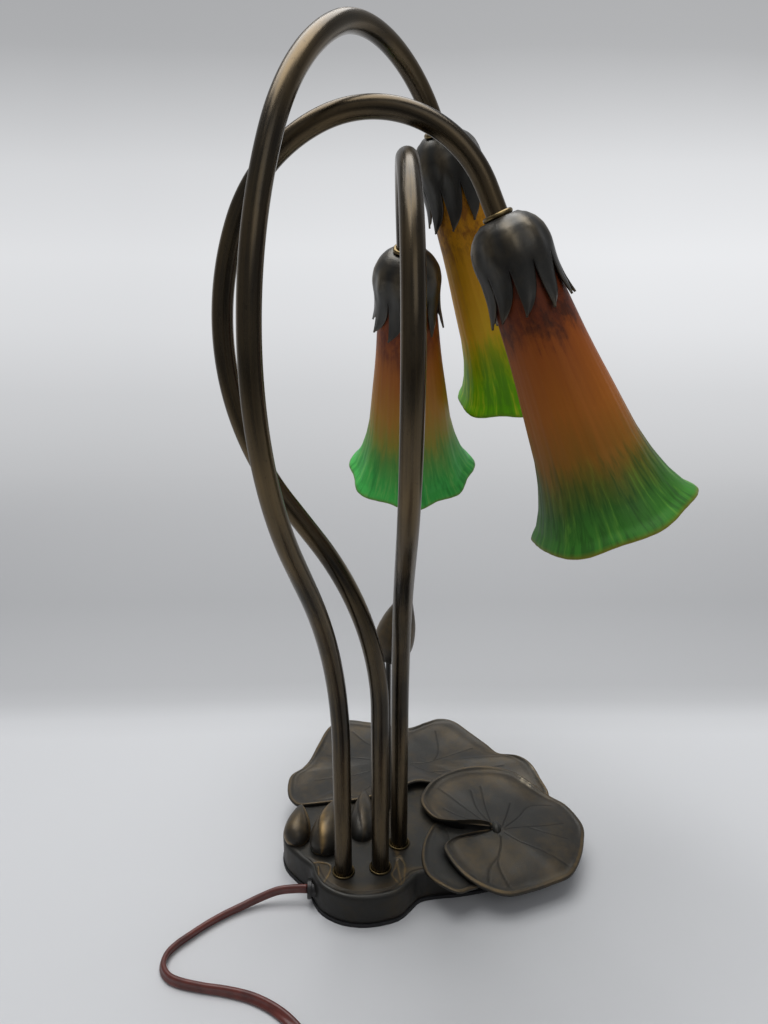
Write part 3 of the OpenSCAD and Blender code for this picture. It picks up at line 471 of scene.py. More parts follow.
def moulded(name, colour, worn, rough=0.4, grain=1200, depth=0.00005, metal=0.0):
    """A hard moulded, plated or foamed stuff: cloudy tone, fine grain and a few rubbed spots."""
    made = blank(name, Metallic=metal)
    at = object_place(made)
    cloud = noise(at, 90, 4, 0.6)
    fine = noise(at, grain, 3, 0.6)
    spots = noise(at, 350, 2, 0.6, offset=(5, 2, 1))
    tone = plus(spread(cloud, 0.35, 0.7, 0, 0.7),
                spread(spots, 0.62, 0.72, 0, 0.4))
    return dress(made, Base_Color=mixed(tone, colour, worn),
                 Roughness=spread(plus(cloud, fine), 0.7, 1.3,
                                  max(rough - 0.08, 0.05), rough + 0.1),
                 Normal=bumps(fine, depth, 0.6))


BRONZE_STEM = stem_bronze()
BRONZE_CAST = cast_bronze("cast_bronze", rgb(54, 53, 50), rgb(84, 71, 49), rgb(138, 112, 68),
                          0.6, 0.5, 0.36)
BRONZE_CALYX = cast_bronze("calyx_bronze", rgb(68, 67, 64), rgb(88, 80, 66), rgb(150, 134, 106),
                           0.8, 0.4, 0.3)
BRASS = brushed_brass("antique_brass", rgb(136, 118, 82), rgb(70, 60, 44))
FOOT_BRASS = brushed_brass("dull_brass", rgb(100, 86, 58), rgb(50, 44, 34))
CORD_VINYL = vinyl("brown_vinyl", rgb(104, 50, 42), rgb(74, 36, 32))
LEAD_VINYL = vinyl("lead_insulation", rgb(30, 30, 32), rgb(44, 43, 44), 0.42)
BLACK_FOAM = moulded("black_foam", rgb(24, 24, 27), rgb(42, 41, 43), 0.78, 900, 0.0004)
ZINC = moulded("zinc_steel", rgb(168, 170, 172), rgb(122, 124, 128), 0.36, 1500, 0.00003, 1.0)
BLACK_PLASTIC = moulded("black_plastic", rgb(22, 21, 21), rgb(44, 41, 38), 0.4)
BROWN_PLASTIC = moulded("brown_plastic", rgb(66, 38, 31), rgb(92, 58, 48), 0.4)
YELLOW_PLASTIC = moulded("yellow_plastic", rgb(206, 176, 52), rgb(176, 146, 40), 0.42)
PHENOLIC = moulded("phenolic", rgb(34, 28, 25), rgb(56, 46, 40), 0.34)
PLAIN_BRASS = moulded("plain_brass", rgb(196, 160, 92), rgb(140, 110, 62), 0.3, 1500, 0.00003, 1.0)
BULB_GLASS = moulded("bulb_glass", rgb(238, 234, 224), rgb(222, 216, 204), 0.24, 1500, 0.00002)


# ---- Cord, first of the pieces ----

CORD_W = 5.4
STRAND = CORD_W / 4
EXIT = np.array([-41.5, -4, 8.5])
SWITCH = np.array([0.0, -107, 0])
COIL = np.array([48.0, -172])
COIL_OUT = 40.8
COIL_STEP = 5.9
COIL_TURNS = 4
COIL_IN = np.array([COIL[0], COIL[1] + COIL_OUT, 3.6])
COIL_OFF = COIL_IN + [0, 0, COIL_STEP]
PLUG = np.array([-6.0, -130, 6])


def coil_path():
    """Four turns inwards on the surface and four outwards on top of them: radius falls and grows
    by a cord's step each turn, and height climbs one step in the middle turn."""
    round_ = np.linspace(0, 2 * COIL_TURNS, 2 * COIL_TURNS * 48 + 1)
    off = round_ - COIL_TURNS
    r = COIL_OUT - COIL_STEP * (COIL_TURNS - np.abs(off))
    climb = np.clip(2 * off + 0.5, 0, 1)
    a = np.pi / 2 + 2 * np.pi * round_
    z = COIL_IN[2] + COIL_STEP * climb**2 * (3 - 2 * climb)
    return np.stack([COIL[0] + r * np.cos(a), COIL[1] + r * np.sin(a), z], 1)


def twin_section():
    """Two round strands side by side, joined by a web: two arcs of a strand's radius that stop
    short of each other at the groove."""
    a = angles(-128, 128, 9)
    right = STRAND * np.stack([1 + np.cos(a), np.sin(a)], 1)
    return np.vstack([right, -right])


def cord_shape(path, roll_rows):
    """The twin cord along a path. Roll is the turn of its wide side from level, in degrees, and
    the cord sinks as it lies flatter: its height falls by a strand's radius (1 - sin roll)."""
    path = even(path, 1.6)
    run = run_along(path)
    roll = np.radians(np.interp(run, *np.asarray(roll_rows, float).T))
    path = path - UP * (STRAND * (1 - np.abs(np.sin(roll))))[:, None]
    ahead = unit(np.gradient(path, axis=0))
    side = unit(np.cross(UP, ahead))
    return path, capped(swept(path, twin_section(), side, np.cross(ahead, side), roll))


def free_cord(name, path, roll_rows, replaced):
    path, shape = cord_shape(path, roll_rows)
    made = piece(name, [shape], CORD_VINYL, replaced)
    return made


# Where the cord stands on its edge on the table: [x, y].
ON_TABLE = [[-86, -16.5], [-94, -23], [-100.5, -29.5], [-106, -35.5], [-109.3, -41.6],
            [-109.4, -48.2], [-105.6, -53.8], [-99.4, -57.2], [-88, -60], [-76, -62], [-64, -65],
            [-54, -69.5], [-45, -75.5], [-37, -83], [-29, -91.5]]
to_switch = curve_through([
    EXIT, EXIT - [7, 0, 0], [-58, -4.5, 7.6], [-68, -7, 5], [-77, -11, 3.2],
    *([x, y, CORD_W / 2] for x, y in ON_TABLE), [-21, -99.5, 3.4], [-12, -105.5, 5.8],
    SWITCH + [-5.4, 0, 7.5], SWITCH + [0, 0, 7.5]], 8)
free_cord("cord_from_lamp", to_switch,
          [[0, 90], [20, 84], [60, 66], [90, 74], [120, 84], [150, 60], [168, 12], [182, 30],
           [200, 90], [400, 90]],
          ["cord_to_switch"])

to_coil = curve_through([
    [56, -107, 7.5], [61.5, -107, 7.4], [66, -107.1, 7], [72, -109.6, 5.8], [76, -115, 4.6],
    [76.2, -122, 3.8], [72.4, -128.2, 3.6], [66.2, -131.1, 3.6], COIL_IN + [12, 0, 0],
    COIL_IN + [5.4, 0, 0]], 8)
to_plug = curve_through([
    COIL_OFF - [5.4, 0, 0], COIL_OFF - [10.8, 0, 0], [29, -131.2, 7.2], [21, -131, 4.6],
    [13, -130.5, 3.4], [5, -130, 4.2], PLUG + [5.4, 0, 0], PLUG], 8)
free_cord("supply_cord", np.vstack([to_coil, coil_path(), to_plug]), [[0, 90], [2000, 90]],
          ["cord_to_coil", "cord_coil", "cord_to_plug"])

inner_path = curve_through([[-41.2, -4, 8.5], [-36, -4, 8.5], [-31, -1, 8.6], [-27, 12, 9],
                            [-24, 32, 9.4], [-21, 45, 9.7], [-16.4, 52, 9.7]], 8)

# ---- Stems ----

STEMS = {
    "left": dict(foot=(-22, -3), facing=63, end=5, bends=[
        (77, 190, -30, 0), (24, 175, 57, 0), (0, 100, 39.5, 12), (0, 56, 88, 0)]),
    "middle": dict(foot=(-2, 0), facing=-3, end=13, bends=[
        (97, 155, -36.5, 0), (23, 130, 58, 0), (0, 70, 44.5, 0), (0, 52, 90, 0)]),
    "right": dict(foot=(8.5, 19), facing=91.5, end=8, bends=[
        (74, 170, -39, 0), (23, 135, 35, 0), (0, 80, 63, 3), (0, 52, 93, 0)]),
}
BASE_TOP = 19.0
TUBE_R = 4.75
TUBE_WALL = 1.0
BORE_R = TUBE_R + 0.05
LEAD_R = 2.85


def stem_line(foot, facing, bends, end, below=12.0, past=10.0):
    """A stem's centre line and the frame of its ring: each bend is a straight, then an arc in the
    frame's XZ plane, to -X where its angle is negative, and then a twist about the line."""
    at = shift(foot[0], foot[1], BASE_TOP - below) @ turn(2, facing)
    runs = []
    for k, (straight, radius, angle, twist) in enumerate(bends):
        length = straight + (below if k == 0 else 0)
        if length:
            z = np.linspace(0, length, max(int(length / 4), 2), endpoint=False)
            runs.append(moved(np.outer(z, UP), at))
        back = 180 if angle < 0 else 0
        at = at @ shift(0, 0, length) @ turn(2, back)
        whole = radians(abs(angle))
        q = np.linspace(0, whole, int(whole * radius / 2), endpoint=False)
        arc = np.stack([radius * (1 - np.cos(q)), 0 * q, radius * np.sin(q)], 1)
        runs.append(moved(arc, at))
        at = (at @ shift(radius * (1 - np.cos(whole)), 0, radius * np.sin(whole))
              @ turn(1, abs(angle)) @ turn(2, -back - twist))
    z = np.linspace(0, end + past, 8)
    runs.append(moved(np.outer(z, UP), at))
    return np.vstack(runs), at @ shift(0, 0, end)


def ring_section(radius, columns):
    a = all_round(columns)
    return radius * np.stack([np.cos(a), np.sin(a)], 1)


def tube(path, outer, inner):
    """A hollow tube: its skin along the path, and its bore back along it, joined at both ends."""
    side, across = carried(path)
    skin = swept(path, ring_section(outer, 40), side, across)
    bore = swept(path, ring_section(inner, 40), side, across)
    return {key: np.concatenate([skin[key], bore[key][::-1]]) for key in skin} | {"along": True}


tips = {}
for side, stem in STEMS.items():
    line, tips[side] = stem_line(**stem)
    piece(side + "_bent_stem", [tube(line, TUBE_R, TUBE_R - TUBE_WALL)],
          BRONZE_STEM, [side + "_stem"])
    inside, _ = stem_line(**stem, below=14.5, past=15)
    piece(side + "_lead_wire", [capped(swept(inside, ring_section(LEAD_R, 12), *carried(inside)))],
          LEAD_VINYL, [side + "_lead"])

_, shape = cord_shape(inner_path, [[0, 90], [200, 90]])
piece("cord_inside_base", [shape], CORD_VINYL, ["inner_cord"])


def collar(place):
    """A flared foot: a rounded bead with a small neck inside it, bored for the tube."""
    a = angles(-60, 90, 9)
    bead = np.stack([5.6 + 0.6 * np.cos(a), 0.65 + 0.65 * np.sin(a)], 1)
    neck = [[5.3, 1.1], [5.05, 0.9], [4.9, 0.9], [BORE_R, 0.8], [BORE_R, 0.05]]
    return placed(lathe(np.vstack([[[BORE_R, 0.02]], bead, neck, [[BORE_R, 0.02]]]), 56), place)


piece("brass_foot_collars", [collar(shift(*stem["foot"], BASE_TOP)) for stem in STEMS.values()],
      FOOT_BRASS, ["foot_collars"])


def tip_ring(place):
    """A bead round the tube: round outside and bored inside."""
    a = angles(-88, 88, 15)
    bead = np.stack([5.4 + 1.2 * np.cos(a), -1.2 + 1.2 * np.sin(a)], 1)
    ring = np.vstack([[[BORE_R, -2.35]], bead, [[BORE_R, -0.05]], [[BORE_R, -2.35]]])
    return placed(lathe(ring, 56), place)


# ---- Calyxes ----

CALYX_ROWS = [[0, 8.4], [1.9, 11.4], [4.8, 14.2], [8.6, 16.2], [14.8, 17.2], [22.9, 16.9],
              [30.5, 16.9], [36.2, 17.6], [41, 18.2]]
CALYX_TOP_R = [[BORE_R + 0.05], [6.6]]
CALYX_LONG = 41.0
CALYX_T = 0.9
SLIT = 20.0
PETALS = 10


def petal(centre_angle, long):
    """One tenth of the cap: s runs down it and u across it from -1 to 1. Above the slit it is full
    width; below, its left edge sweeps to a point at its right edge. The shoulder swells in the
    middle of each petal, its free edges stand one out and one in, and its point flares."""
    s = np.r_[0, 0, np.linspace(0, SLIT, 22), np.linspace(SLIT + 0.6, long, 40)][:, None]
    u = np.linspace(-1, 1, 15)[None, :]
    free = np.clip((s - SLIT) / (long - SLIT), 0, 1)
    right = 1 - 0.09 * free**0.8 - 0.04 * free**3
    left = -1 + 0.2 * free**0.7 + 0.35 * free**1.4 + 1.28 * free**3
    reach = left + (right - left) * (u + 1) / 2
    a = radians(1) * (centre_angle + 180 / PETALS * reach)
    swell = np.cos(np.pi / 2 * u) ** 2
    r = smooth_at(CALYX_ROWS, s) + 0 * u
    r[:2] = CALYX_TOP_R
    r = r + 0.75 * (swell - 0.5) * hill(s - 13, 7) * step_up(s, 0, 4)
    r = r + (0.55 * u + 0.25 * swell) * step_up(s, SLIT, SLIT + 12)
    r = r + 1.1 * free**3 - 0.25 * (1 - swell) * free
    s = s + 0 * u + 0.4 * (1 - np.abs(u)) * free
    points = np.stack([r * np.cos(a), r * np.sin(a), s], -1)
    wear = 0.4 * hill(s - 8, 5) * swell + 0.3 * hill(1 - np.abs(u), 0.06) * free
    wear = wear + 0.2 * hill(s - long, 2)
    # Painted shade: dark in the valley where each slit opens, and over the right side of each free
    # petal towards its tip, along the slit.
    dark = 0.5 * (1 - swell) ** 3 * hill(s - SLIT - 1, 4)
    dark = dark + 0.25 * free * step_up(u, 0.2, 0.9)
    return dict(points=points, around=False, wear=np.clip(wear, 0, 1), dark=np.clip(dark, 0, 1))


def calyx(side, place):
    """Ten petals of one sheet, merged above their slits, given a wall inwards."""
    made = piece(side + "_bronze_calyx",
                 [placed(petal(360 * (k + 0.5) / PETALS, CALYX_LONG - 0.8 * (k % 3)), place)
                  for k in range(PETALS)],
                 BRONZE_CALYX, [side + "_calyx"])
    axis, top = Vector(place[:3, 2]), Vector(place[:3, 3]) * MM
    bm = bmesh.new()
    bm.from_mesh(made.data)
    bmesh.ops.remove_doubles(bm, verts=bm.verts, dist=20 * MERGE)
    bmesh.ops.recalc_face_normals(bm, faces=bm.faces)
    outward = 0.0
    for face in bm.faces:
        off = face.calc_center_median() - top
        outward += face.normal.dot(off - axis * off.dot(axis)) * face.calc_area()
    if outward < 0:
        bmesh.ops.reverse_faces(bm, faces=bm.faces)
    bm.to_mesh(made.data)
    bm.free()
    wall = made.modifiers.new("wall", "SOLIDIFY")
    wall.thickness = CALYX_T * MM
    wall.offset = -1


# ---- Glass shades ----

SHADE_END = 141.0
NECK = 11.3
HOLE_R = 9.9
FLARE = 84.0
SHADE_ROWS = [[NECK, 14], [14.3, 14.6], [22, 14.8], [43, 16.4], [62, 18.2], [84, 21], [104, 23.6],
              [117, 26.4], [128, 29.8], [136, 33.6], [141, 37.5]]
GLASS_T = 2.2
# Mouths: [angle round the axis, radius], through the corners and the dips between them.
MOUTHS = {
    "middle": [[24, 40.3], [0, 37.2], [-22, 36.8], [-57, 39.6], [-82, 37.3], [-110, 38.6],
               [-138, 36.8], [-171, 39.2], [158, 36.4], [128, 39], [98, 36.8], [70, 38.8],
               [44, 37]],
    "right": [[100, 38.8], [78, 36], [56, 38.8], [25, 35.6], [0, 38.8], [-24, 35.6], [-47, 38.2],
              [-68, 36.6], [-92, 40], [-114, 37], [-135, 40], [-170, 36.8], [155, 39.2],
              [128, 36.6]],
    "left": [[92, 40.2], [60, 36.4], [28, 37.4], [0, 35.8], [-25, 39.8], [-55, 36.6], [-86, 39.6],
             [-114, 36.6], [-142, 40], [-172, 36.8], [156, 39.6], [122, 37]],
}


def glass(side, place):
    """The shade: radius from its profile, and near the mouth drawn out to the corners, (mouth
    radius - profile's) times the share of the flare to the power 2.6. Corners droop a little past
    the dips. The wall is even, closed by a rounded rim, with a hole in its top for the socket."""
    a = np.radians(np.linspace(0, 360, 288, endpoint=False))
    mouth = smooth_round(MOUTHS[side], np.degrees(a))
    s = np.r_[np.linspace(NECK, 20, 8), np.linspace(22, 100, 40),
              np.linspace(102, SHADE_END, 44)][:, None]
    flare = np.clip((s - FLARE) / (SHADE_END - FLARE), 0, 1)
    pull = mouth - SHADE_ROWS[-1][1]
    folds = 0.05 * np.cos(23 * a) + 0.04 * np.cos(41 * a + 1) + 0.06 * np.cos(9 * a + 2)

    def skin(depth, s, flare):
        r = smooth_at(SHADE_ROWS, s) + pull * flare**2.6 + folds * step_up(s, 40, 90) - depth
        z = s + 0.35 * pull * flare**3
        return np.stack(np.broadcast_arrays(r * np.cos(a), r * np.sin(a), z), -1)

    outer = skin(0.0, s, flare)
    t = angles(15, 165, 8)[:, None]
    middle = skin(GLASS_T / 2, s[-1:], flare[-1:])
    rim = middle + (outer[-1:] - middle) * np.cos(t)[..., None] + 0.9 * UP * np.sin(t)[..., None]
    inner = skin(GLASS_T, s[7:], flare[7:])[::-1]
    top = np.stack([HOLE_R * np.cos(a), HOLE_R * np.sin(a), NECK + 0 * a], -1)[None]
    points = np.concatenate([top, outer, rim, inner, top + 3 * UP])
    down = points[..., 2]
    wear = np.zeros_like(down)
    wear[1 + len(s):1 + len(s) + len(rim)] = 1
    wear[len(s) - 1:1 + len(s)] = [[0.25], [0.8]]
    ring = np.stack([26 * np.cos(a) + 0 * down, 26 * np.sin(a) + 0 * down, down], -1)
    shape = placed(dict(points=points, straight=ring, along=True, wear=wear), place)
    piece(side + "_lily_glass", [shape],
          GLASS[side], [side + "_shade"], side + "_glass_shade")


GLASS = {
    "middle": art_glass("amber_green_glass_front", [
        (0.0, rgb(92, 40, 22)), (0.3, rgb(112, 50, 20)), (0.4, rgb(158, 82, 26)),
        (0.6, rgb(170, 98, 28)), (0.74, rgb(146, 98, 28)), (0.82, rgb(92, 98, 30)),
        (0.9, rgb(56, 106, 36)), (1.0, rgb(60, 132, 40))], (0.72, 0.88),
        [rgb(30, 56, 18), rgb(104, 162, 56)], rgb(132, 128, 36), rgb(50, 26, 20)),
    "right": art_glass("amber_green_glass_side", [
        (0.0, rgb(120, 54, 20)), (0.3, rgb(140, 66, 18)), (0.45, rgb(172, 98, 26)),
        (0.62, rgb(176, 122, 32)), (0.74, rgb(148, 138, 40)), (0.82, rgb(98, 154, 62)),
        (0.92, rgb(70, 186, 80)), (1.0, rgb(80, 200, 92))], (0.7, 0.9),
        [rgb(34, 124, 48), rgb(132, 208, 104)], rgb(112, 132, 44), rgb(96, 40, 20)),
    "left": art_glass("yellow_green_glass", [
        (0.0, rgb(166, 106, 26)), (0.3, rgb(208, 142, 24)), (0.5, rgb(232, 172, 32)),
        (0.68, rgb(232, 190, 36)), (0.78, rgb(182, 192, 14)), (0.88, rgb(124, 192, 2)),
        (1.0, rgb(98, 178, 4))], (0.7, 0.84),
        [rgb(74, 138, 4), rgb(214, 222, 48)], rgb(118, 150, 20), rgb(120, 70, 24)),
}

for side, place in tips.items():
    piece(side + "_brass_ring", [tip_ring(place)], BRASS,
          [side + "_tip_ring"])
    calyx(side, place)
    glass(side, place)


# ---- Buds ----

def bud(tail, tip, width, folds=3, turns=0.55, phase=0.0, rub=1.0):
    """A closed bud: an ovoid, radius from its profile, whose folded petals wrap round it: the
    radius falls slowly across each petal and steps back at its edge, along a slow spiral. Rub is
    how much of the petals' edges is worn bright."""
    tail, tip = np.asarray(tail, float), np.asarray(tip, float)
    length = np.linalg.norm(tip - tail)
    ahead = (tip - tail) / length
    side = unit(np.cross(ahead, [0.0, 1.0, 0.02]))
    across = np.cross(ahead, side)
    profile = curve_through([
        [0, 0], [0.3 * width, 0.05 * length], [0.47 * width, 0.2 * length],
        [0.5 * width, 0.38 * length], [0.42 * width, 0.6 * length], [0.25 * width, 0.82 * length],
        [0.1 * width, 0.95 * length], [0, length]], 8)
    r = np.maximum(profile[:, :1], 0)
    z = profile[:, 1:]
    a = all_round(72)[None, :]
    share = (folds * a / (2 * np.pi) + turns * z / length + phase) % 1.0
    edge = step_up(share, 0.0, 0.12) * (1 - 0.75 * share)
    along = np.sin(np.pi * np.clip(z / length, 0, 1))
    r = 0.98 * r + 0.05 * width * along**0.7 * (edge - 0.75)
    r = np.maximum(r, 0) * (profile[:, :1] > 0)
    points = (tail + z[..., None] * ahead + (r * np.cos(a))[..., None] * side
              + (r * np.sin(a))[..., None] * across)
    wear = np.clip(0.8 * hill(share - 0.16, 0.1) + 0.25 * hill(z / length - 0.5, 0.3), 0, 1)
    dark = 0.8 * hill(share - 0.02, 0.05) * along
    return dict(points=points, wear=rub * wear, dark=dark)


def casting(name, shapes, node):
    piece(name, shapes, BRONZE_CAST, [node])


casting("closed_lily_bud", [bud([2.5, 50, 118], [13.1, 50, 160.7], 23)], "closed_bud")

# ---- Base ----

WALL = [
    [-8, -21.5], [7, -17.5], [14.5, -10], [19.5, -4.5], [29, -2], [41, -0.5], [53, 2], [66, 5.5],
    [79, 8.5], [90, 13], [98, 20], [102, 29], [102.5, 38], [100, 48], [95.5, 59], [93.5, 72],
    [92, 84], [83, 91], [70, 98], [62, 110], [52, 125], [40, 130], [29, 127], [17, 122], [3, 125],
    [-11, 128], [-24, 128], [-32, 121], [-37, 107], [-42, 93], [-47, 83], [-52, 74], [-53, 63],
    [-52, 54], [-56, 43], [-59, 31], [-56, 19], [-48, 9], [-41, 2], [-38.5, -5], [-33, -13.5],
    [-22, -20]]
FRONT_PAD = [67, 28.5, 22]
FRONT_RIM = [
    [61, 25.3, 22.6], [51, 21.8, 23.2], [39, 17.5, 23.2], [33.5, 11.5, 23], [36, 3, 22],
    [43, -6.5, 20], [53, -12.5, 17.5], [66, -15, 15], [80, -10.5, 14], [92, -5.5, 14],
    [103, 0, 14.5], [111, 12, 15], [116, 25, 16], [118, 37, 17.5], [112, 52, 19],
    [103.5, 60.5, 19.5], [92, 70, 23], [83, 77, 25], [71, 81, 26], [57, 81.5, 26], [43, 77, 26],
    [31, 69, 25], [24, 58, 24], [22.5, 47, 24], [29, 35.5, 23.5], [40, 31.2, 24], [52, 31, 24.6],
    [61, 30.2, 24]]
FRONT_VEINS = [
    [[63, 30], [61.5, 45], [60.5, 64]], [[62, 29], [50, 44], [34, 62]],
    [[62, 32], [56, 45], [54, 60]],
    [[69, 29], [73, 39], [77, 50]], [[70, 28], [80, 38], [88, 48], [102, 50]],
    [[70, 27], [82, 30], [94, 32], [106, 35]], [[84, 30], [95, 26.5], [106, 24]],
    [[70, 24], [76, 19], [82, 16], [94, 10.5], [105, 4]], [[67, 22], [66, 14], [63, 1], [69, -14]],
    [[64.5, 8], [58, -1], [56, -9]], [[60, 30], [48, 36], [36, 44]]]
BACK_PAD = [14, 96, 21]
BACK_RIM = [
    [-54, 52, 20], [-46, 50.5, 21], [-30, 53, 21], [-17, 54, 21.5], [-5, 57.5, 22], [8, 62, 23],
    [22, 69, 24], [40, 66, 22], [60, 60, 20.5], [80, 58, 20], [102, 60, 19], [99.5, 74, 23.5],
    [95.5, 86, 25.5], [88.5, 93, 26], [77, 98.5, 24], [70, 109, 24], [60, 122, 25], [50, 134, 26],
    [40, 137.5, 26], [30, 134.5, 25], [17.5, 129, 24], [4, 132, 24], [-11, 134.5, 25],
    [-28, 135.5, 26], [-39, 128, 25], [-45, 109, 24], [-49, 93.5, 23], [-53.5, 85, 22],
    [-60.5, 77.5, 21], [-60, 62, 20]]
BACK_VEINS = [
    [[18, 92], [26, 92], [33, 94], [45, 100], [60, 106]],
    [[33, 94], [36, 101], [37, 110], [36, 126]],
    [[14, 100], [10, 112], [4, 124]], [[10, 98], [-6, 108], [-22, 124]],
    [[9, 95], [-14, 96], [-38, 98]], [[10, 92], [-12, 82], [-44, 74]],
    [[12, 90], [0, 76], [-12, 64]],
    [[17, 91], [30, 82], [52, 76]], [[30, 82], [46, 84], [78, 86]]]
LOW_PAD = [
    [52, -8, 15.6], [46, -13.5, 16.9], [38.7, -16.5, 18], [29, -12, 19.4], [23.5, -6, 19.6],
    [21, 3, 19.6], [21.5, 14, 19.6], [25, 26, 19.6], [32, 36, 19.6], [45, 30, 18], [58, 12, 16]]
# The outlines and midribs of the leaves engraved on the lobe.
LEAVES = [[[4.2, 18], [7.5, 10.7], [6.4, 1], [4.3, -5.5], [9.6, -12.2], [11.4, -2], [11.1, 3.4],
           [7.5, 10.7]], [[9.6, -12.2], [8.2, -4], [7.3, 4]],
          [[-45, -1], [-41, -9], [-37.5, -16], [-31, -8], [-29.5, 1.4], [-36, 4], [-40.7, 3.4]],
          [[-37.5, -16], [-35.5, -7], [-36, 1]]]
FOAM_TOP = 2.0
KEEL = 16.5
LIP = 2.4
LEAF_LIP = 0.9
CLEAR = 1.2
ROUND = 2.4
# Spots rubbed to a chalky bloom: [x, y, half width].
CHALKY = [[88, 71, 2.4], [91.5, 66.5, 1.6], [98.5, 82, 2.4], [22, 62, 2.0]]


def ripple(points):
    """The hand-worked unevenness of the casting: three crossed slow waves, under half a mm."""
    x, y = points[..., 0], points[..., 1]
    return (0.16 * np.sin(x / 6.3 + y / 11 + 1) + 0.13 * np.sin(y / 5.1 - x / 13)
            + 0.1 * np.sin(x / 3.1 + 2) * np.cos(y / 3.7))


def rim_of(outline, steps, centre):
    """A pad's rim as a smooth closed curve, its span from the centre and its level way out."""
    curve = curve_through(outline, steps, closed=True)[None]
    span = np.linalg.norm(curve[..., :2] - centre[:2], axis=-1)[..., None]
    return curve, span, unit((curve - centre) * [1, 1, 0])


def round_lip(edge, out, radius, first, last, steps):
    """A round lip on an edge: edge + out radius cos t + up radius (sin t - 1)."""
    t = angles(first, last, steps)[:, None, None]
    return edge + out * radius * np.cos(t) + UP * radius * (np.sin(t) - 1)


def lily_pad(centre, rim, veins, bead):
    """A pad on a polar grid: share runs from the navel to the rim. Height is the navel's plus
    (rim's - navel's) share^2, plus a bead along the rim where it stands high, thickest by the
    notch, less a fine groove along each vein. The rim is a half round, worn in patches, and below
    it the skin runs back in to the keel. The skin is darker along the veins and just inside the
    bead, and from the lower half of the lip in to the keel it is painted dark as shade."""
    rows = 96
    centre = np.array(centre, float)
    curve, span, out = rim_of(rim, 13, centre)
    share = (np.linspace(0, 1, rows) ** 0.9)[:, None, None]
    edge = curve - out * LIP / 2
    top = centre + share * (edge - centre)
    top[..., 2] = centre[2] + (curve[..., 2] - centre[2]) * share[..., 0] ** 2
    inland = (1 - share[..., 0]) * span[..., 0]
    gap = from_lines(top, veins)
    clear = step_up(inland, 0.5, 3.5)
    rolled = bead * step_up(span[..., 0], 3, 12) * (0.3 + 0.7 * step_up(curve[..., 2], 17.5, 22.5))
    rolled = rolled * (1 + 0.9 * hill(np.hypot(curve[..., 0] - 47, curve[..., 1] - 30), 12))
    lift = rolled * (hill(inland - 0.7, 1.15) - 0.4 * hill(inland - 4.2, 2.4))
    groove = 0.22 * hill(gap, 0.42) * clear
    top[..., 2] += lift - groove + ripple(top) * clear
    lip = round_lip(top[-1:], out, LIP / 2, 78, -70, 9)
    under = [lip[-1:] - out * back + [0, 0, -drop] for back, drop in ((2, 0.3), (5, 1.0))]
    foot = centre + 0.82 * (curve - centre)
    foot[..., 2] = np.minimum(KEEL, under[-1][..., 2] - 1)
    base = np.broadcast_to(centre * [1, 1, 0] + UP * KEEL, foot.shape)
    points = np.concatenate([top, lip, *under, foot, base])
    wear = np.zeros(points.shape[:2])
    x, y = top[..., 0], top[..., 1]
    patchy = 0.35 + 0.65 * step_up(np.sin(x / 8 + 1) + np.sin(y / 9 + x / 30 + 2), -1, 1.4)
    wear[:rows] = 0.5 * hill(inland - 0.3, 0.4) * patchy
    wear[:rows] += 0.22 * hill(inland - 9, 7) * rolled
    wear[rows:rows + 4] = np.array([[0.5], [0.35], [0.15], [0.0]]) * patchy[-1:]
    dark = np.zeros_like(wear)
    dark[:rows] = 0.6 * hill(gap, 0.5) * clear + 0.3 * hill(inland - 4.6, 1.6) * rolled
    # Painted shade under the pad, from the lower half of the lip in to the keel.
    dark[rows + 5:] = 0.75
    pale = np.zeros_like(wear)
    for x, y, wide in CHALKY:
        pale[:rows] += 0.8 * hill(np.hypot(top[..., 0] - x, top[..., 1] - y), wide)
    return dict(points=points, wear=wear, dark=dark, pale=np.clip(pale, 0, 1))


def under_front_pad(points):
    """The points, lowered where they would come nearer than CLEAR to the front pad's skin. Its
    height is the navel's plus (rim's - navel's) share^2, with the rim's read by bearing."""
    centre = np.array(FRONT_PAD, float)
    rim = curve_through(FRONT_RIM, 8, closed=True) - centre
    rim = rim[np.argsort(np.arctan2(rim[:, 1], rim[:, 0]))]
    bearing, reach = np.arctan2(rim[:, 1], rim[:, 0]), np.hypot(rim[:, 0], rim[:, 1])
    off = points - centre
    here = np.arctan2(off[..., 1], off[..., 0])
    far = np.interp(here, bearing, reach, period=2 * np.pi)
    rise = np.interp(here, bearing, rim[:, 2], period=2 * np.pi)
    share = np.hypot(off[..., 0], off[..., 1]) / far
    skin = centre[2] + rise * share**2 - CLEAR
    lower = points.copy()
    lower[..., 2] = np.where(share < 1, np.minimum(points[..., 2], skin), points[..., 2])
    return lower


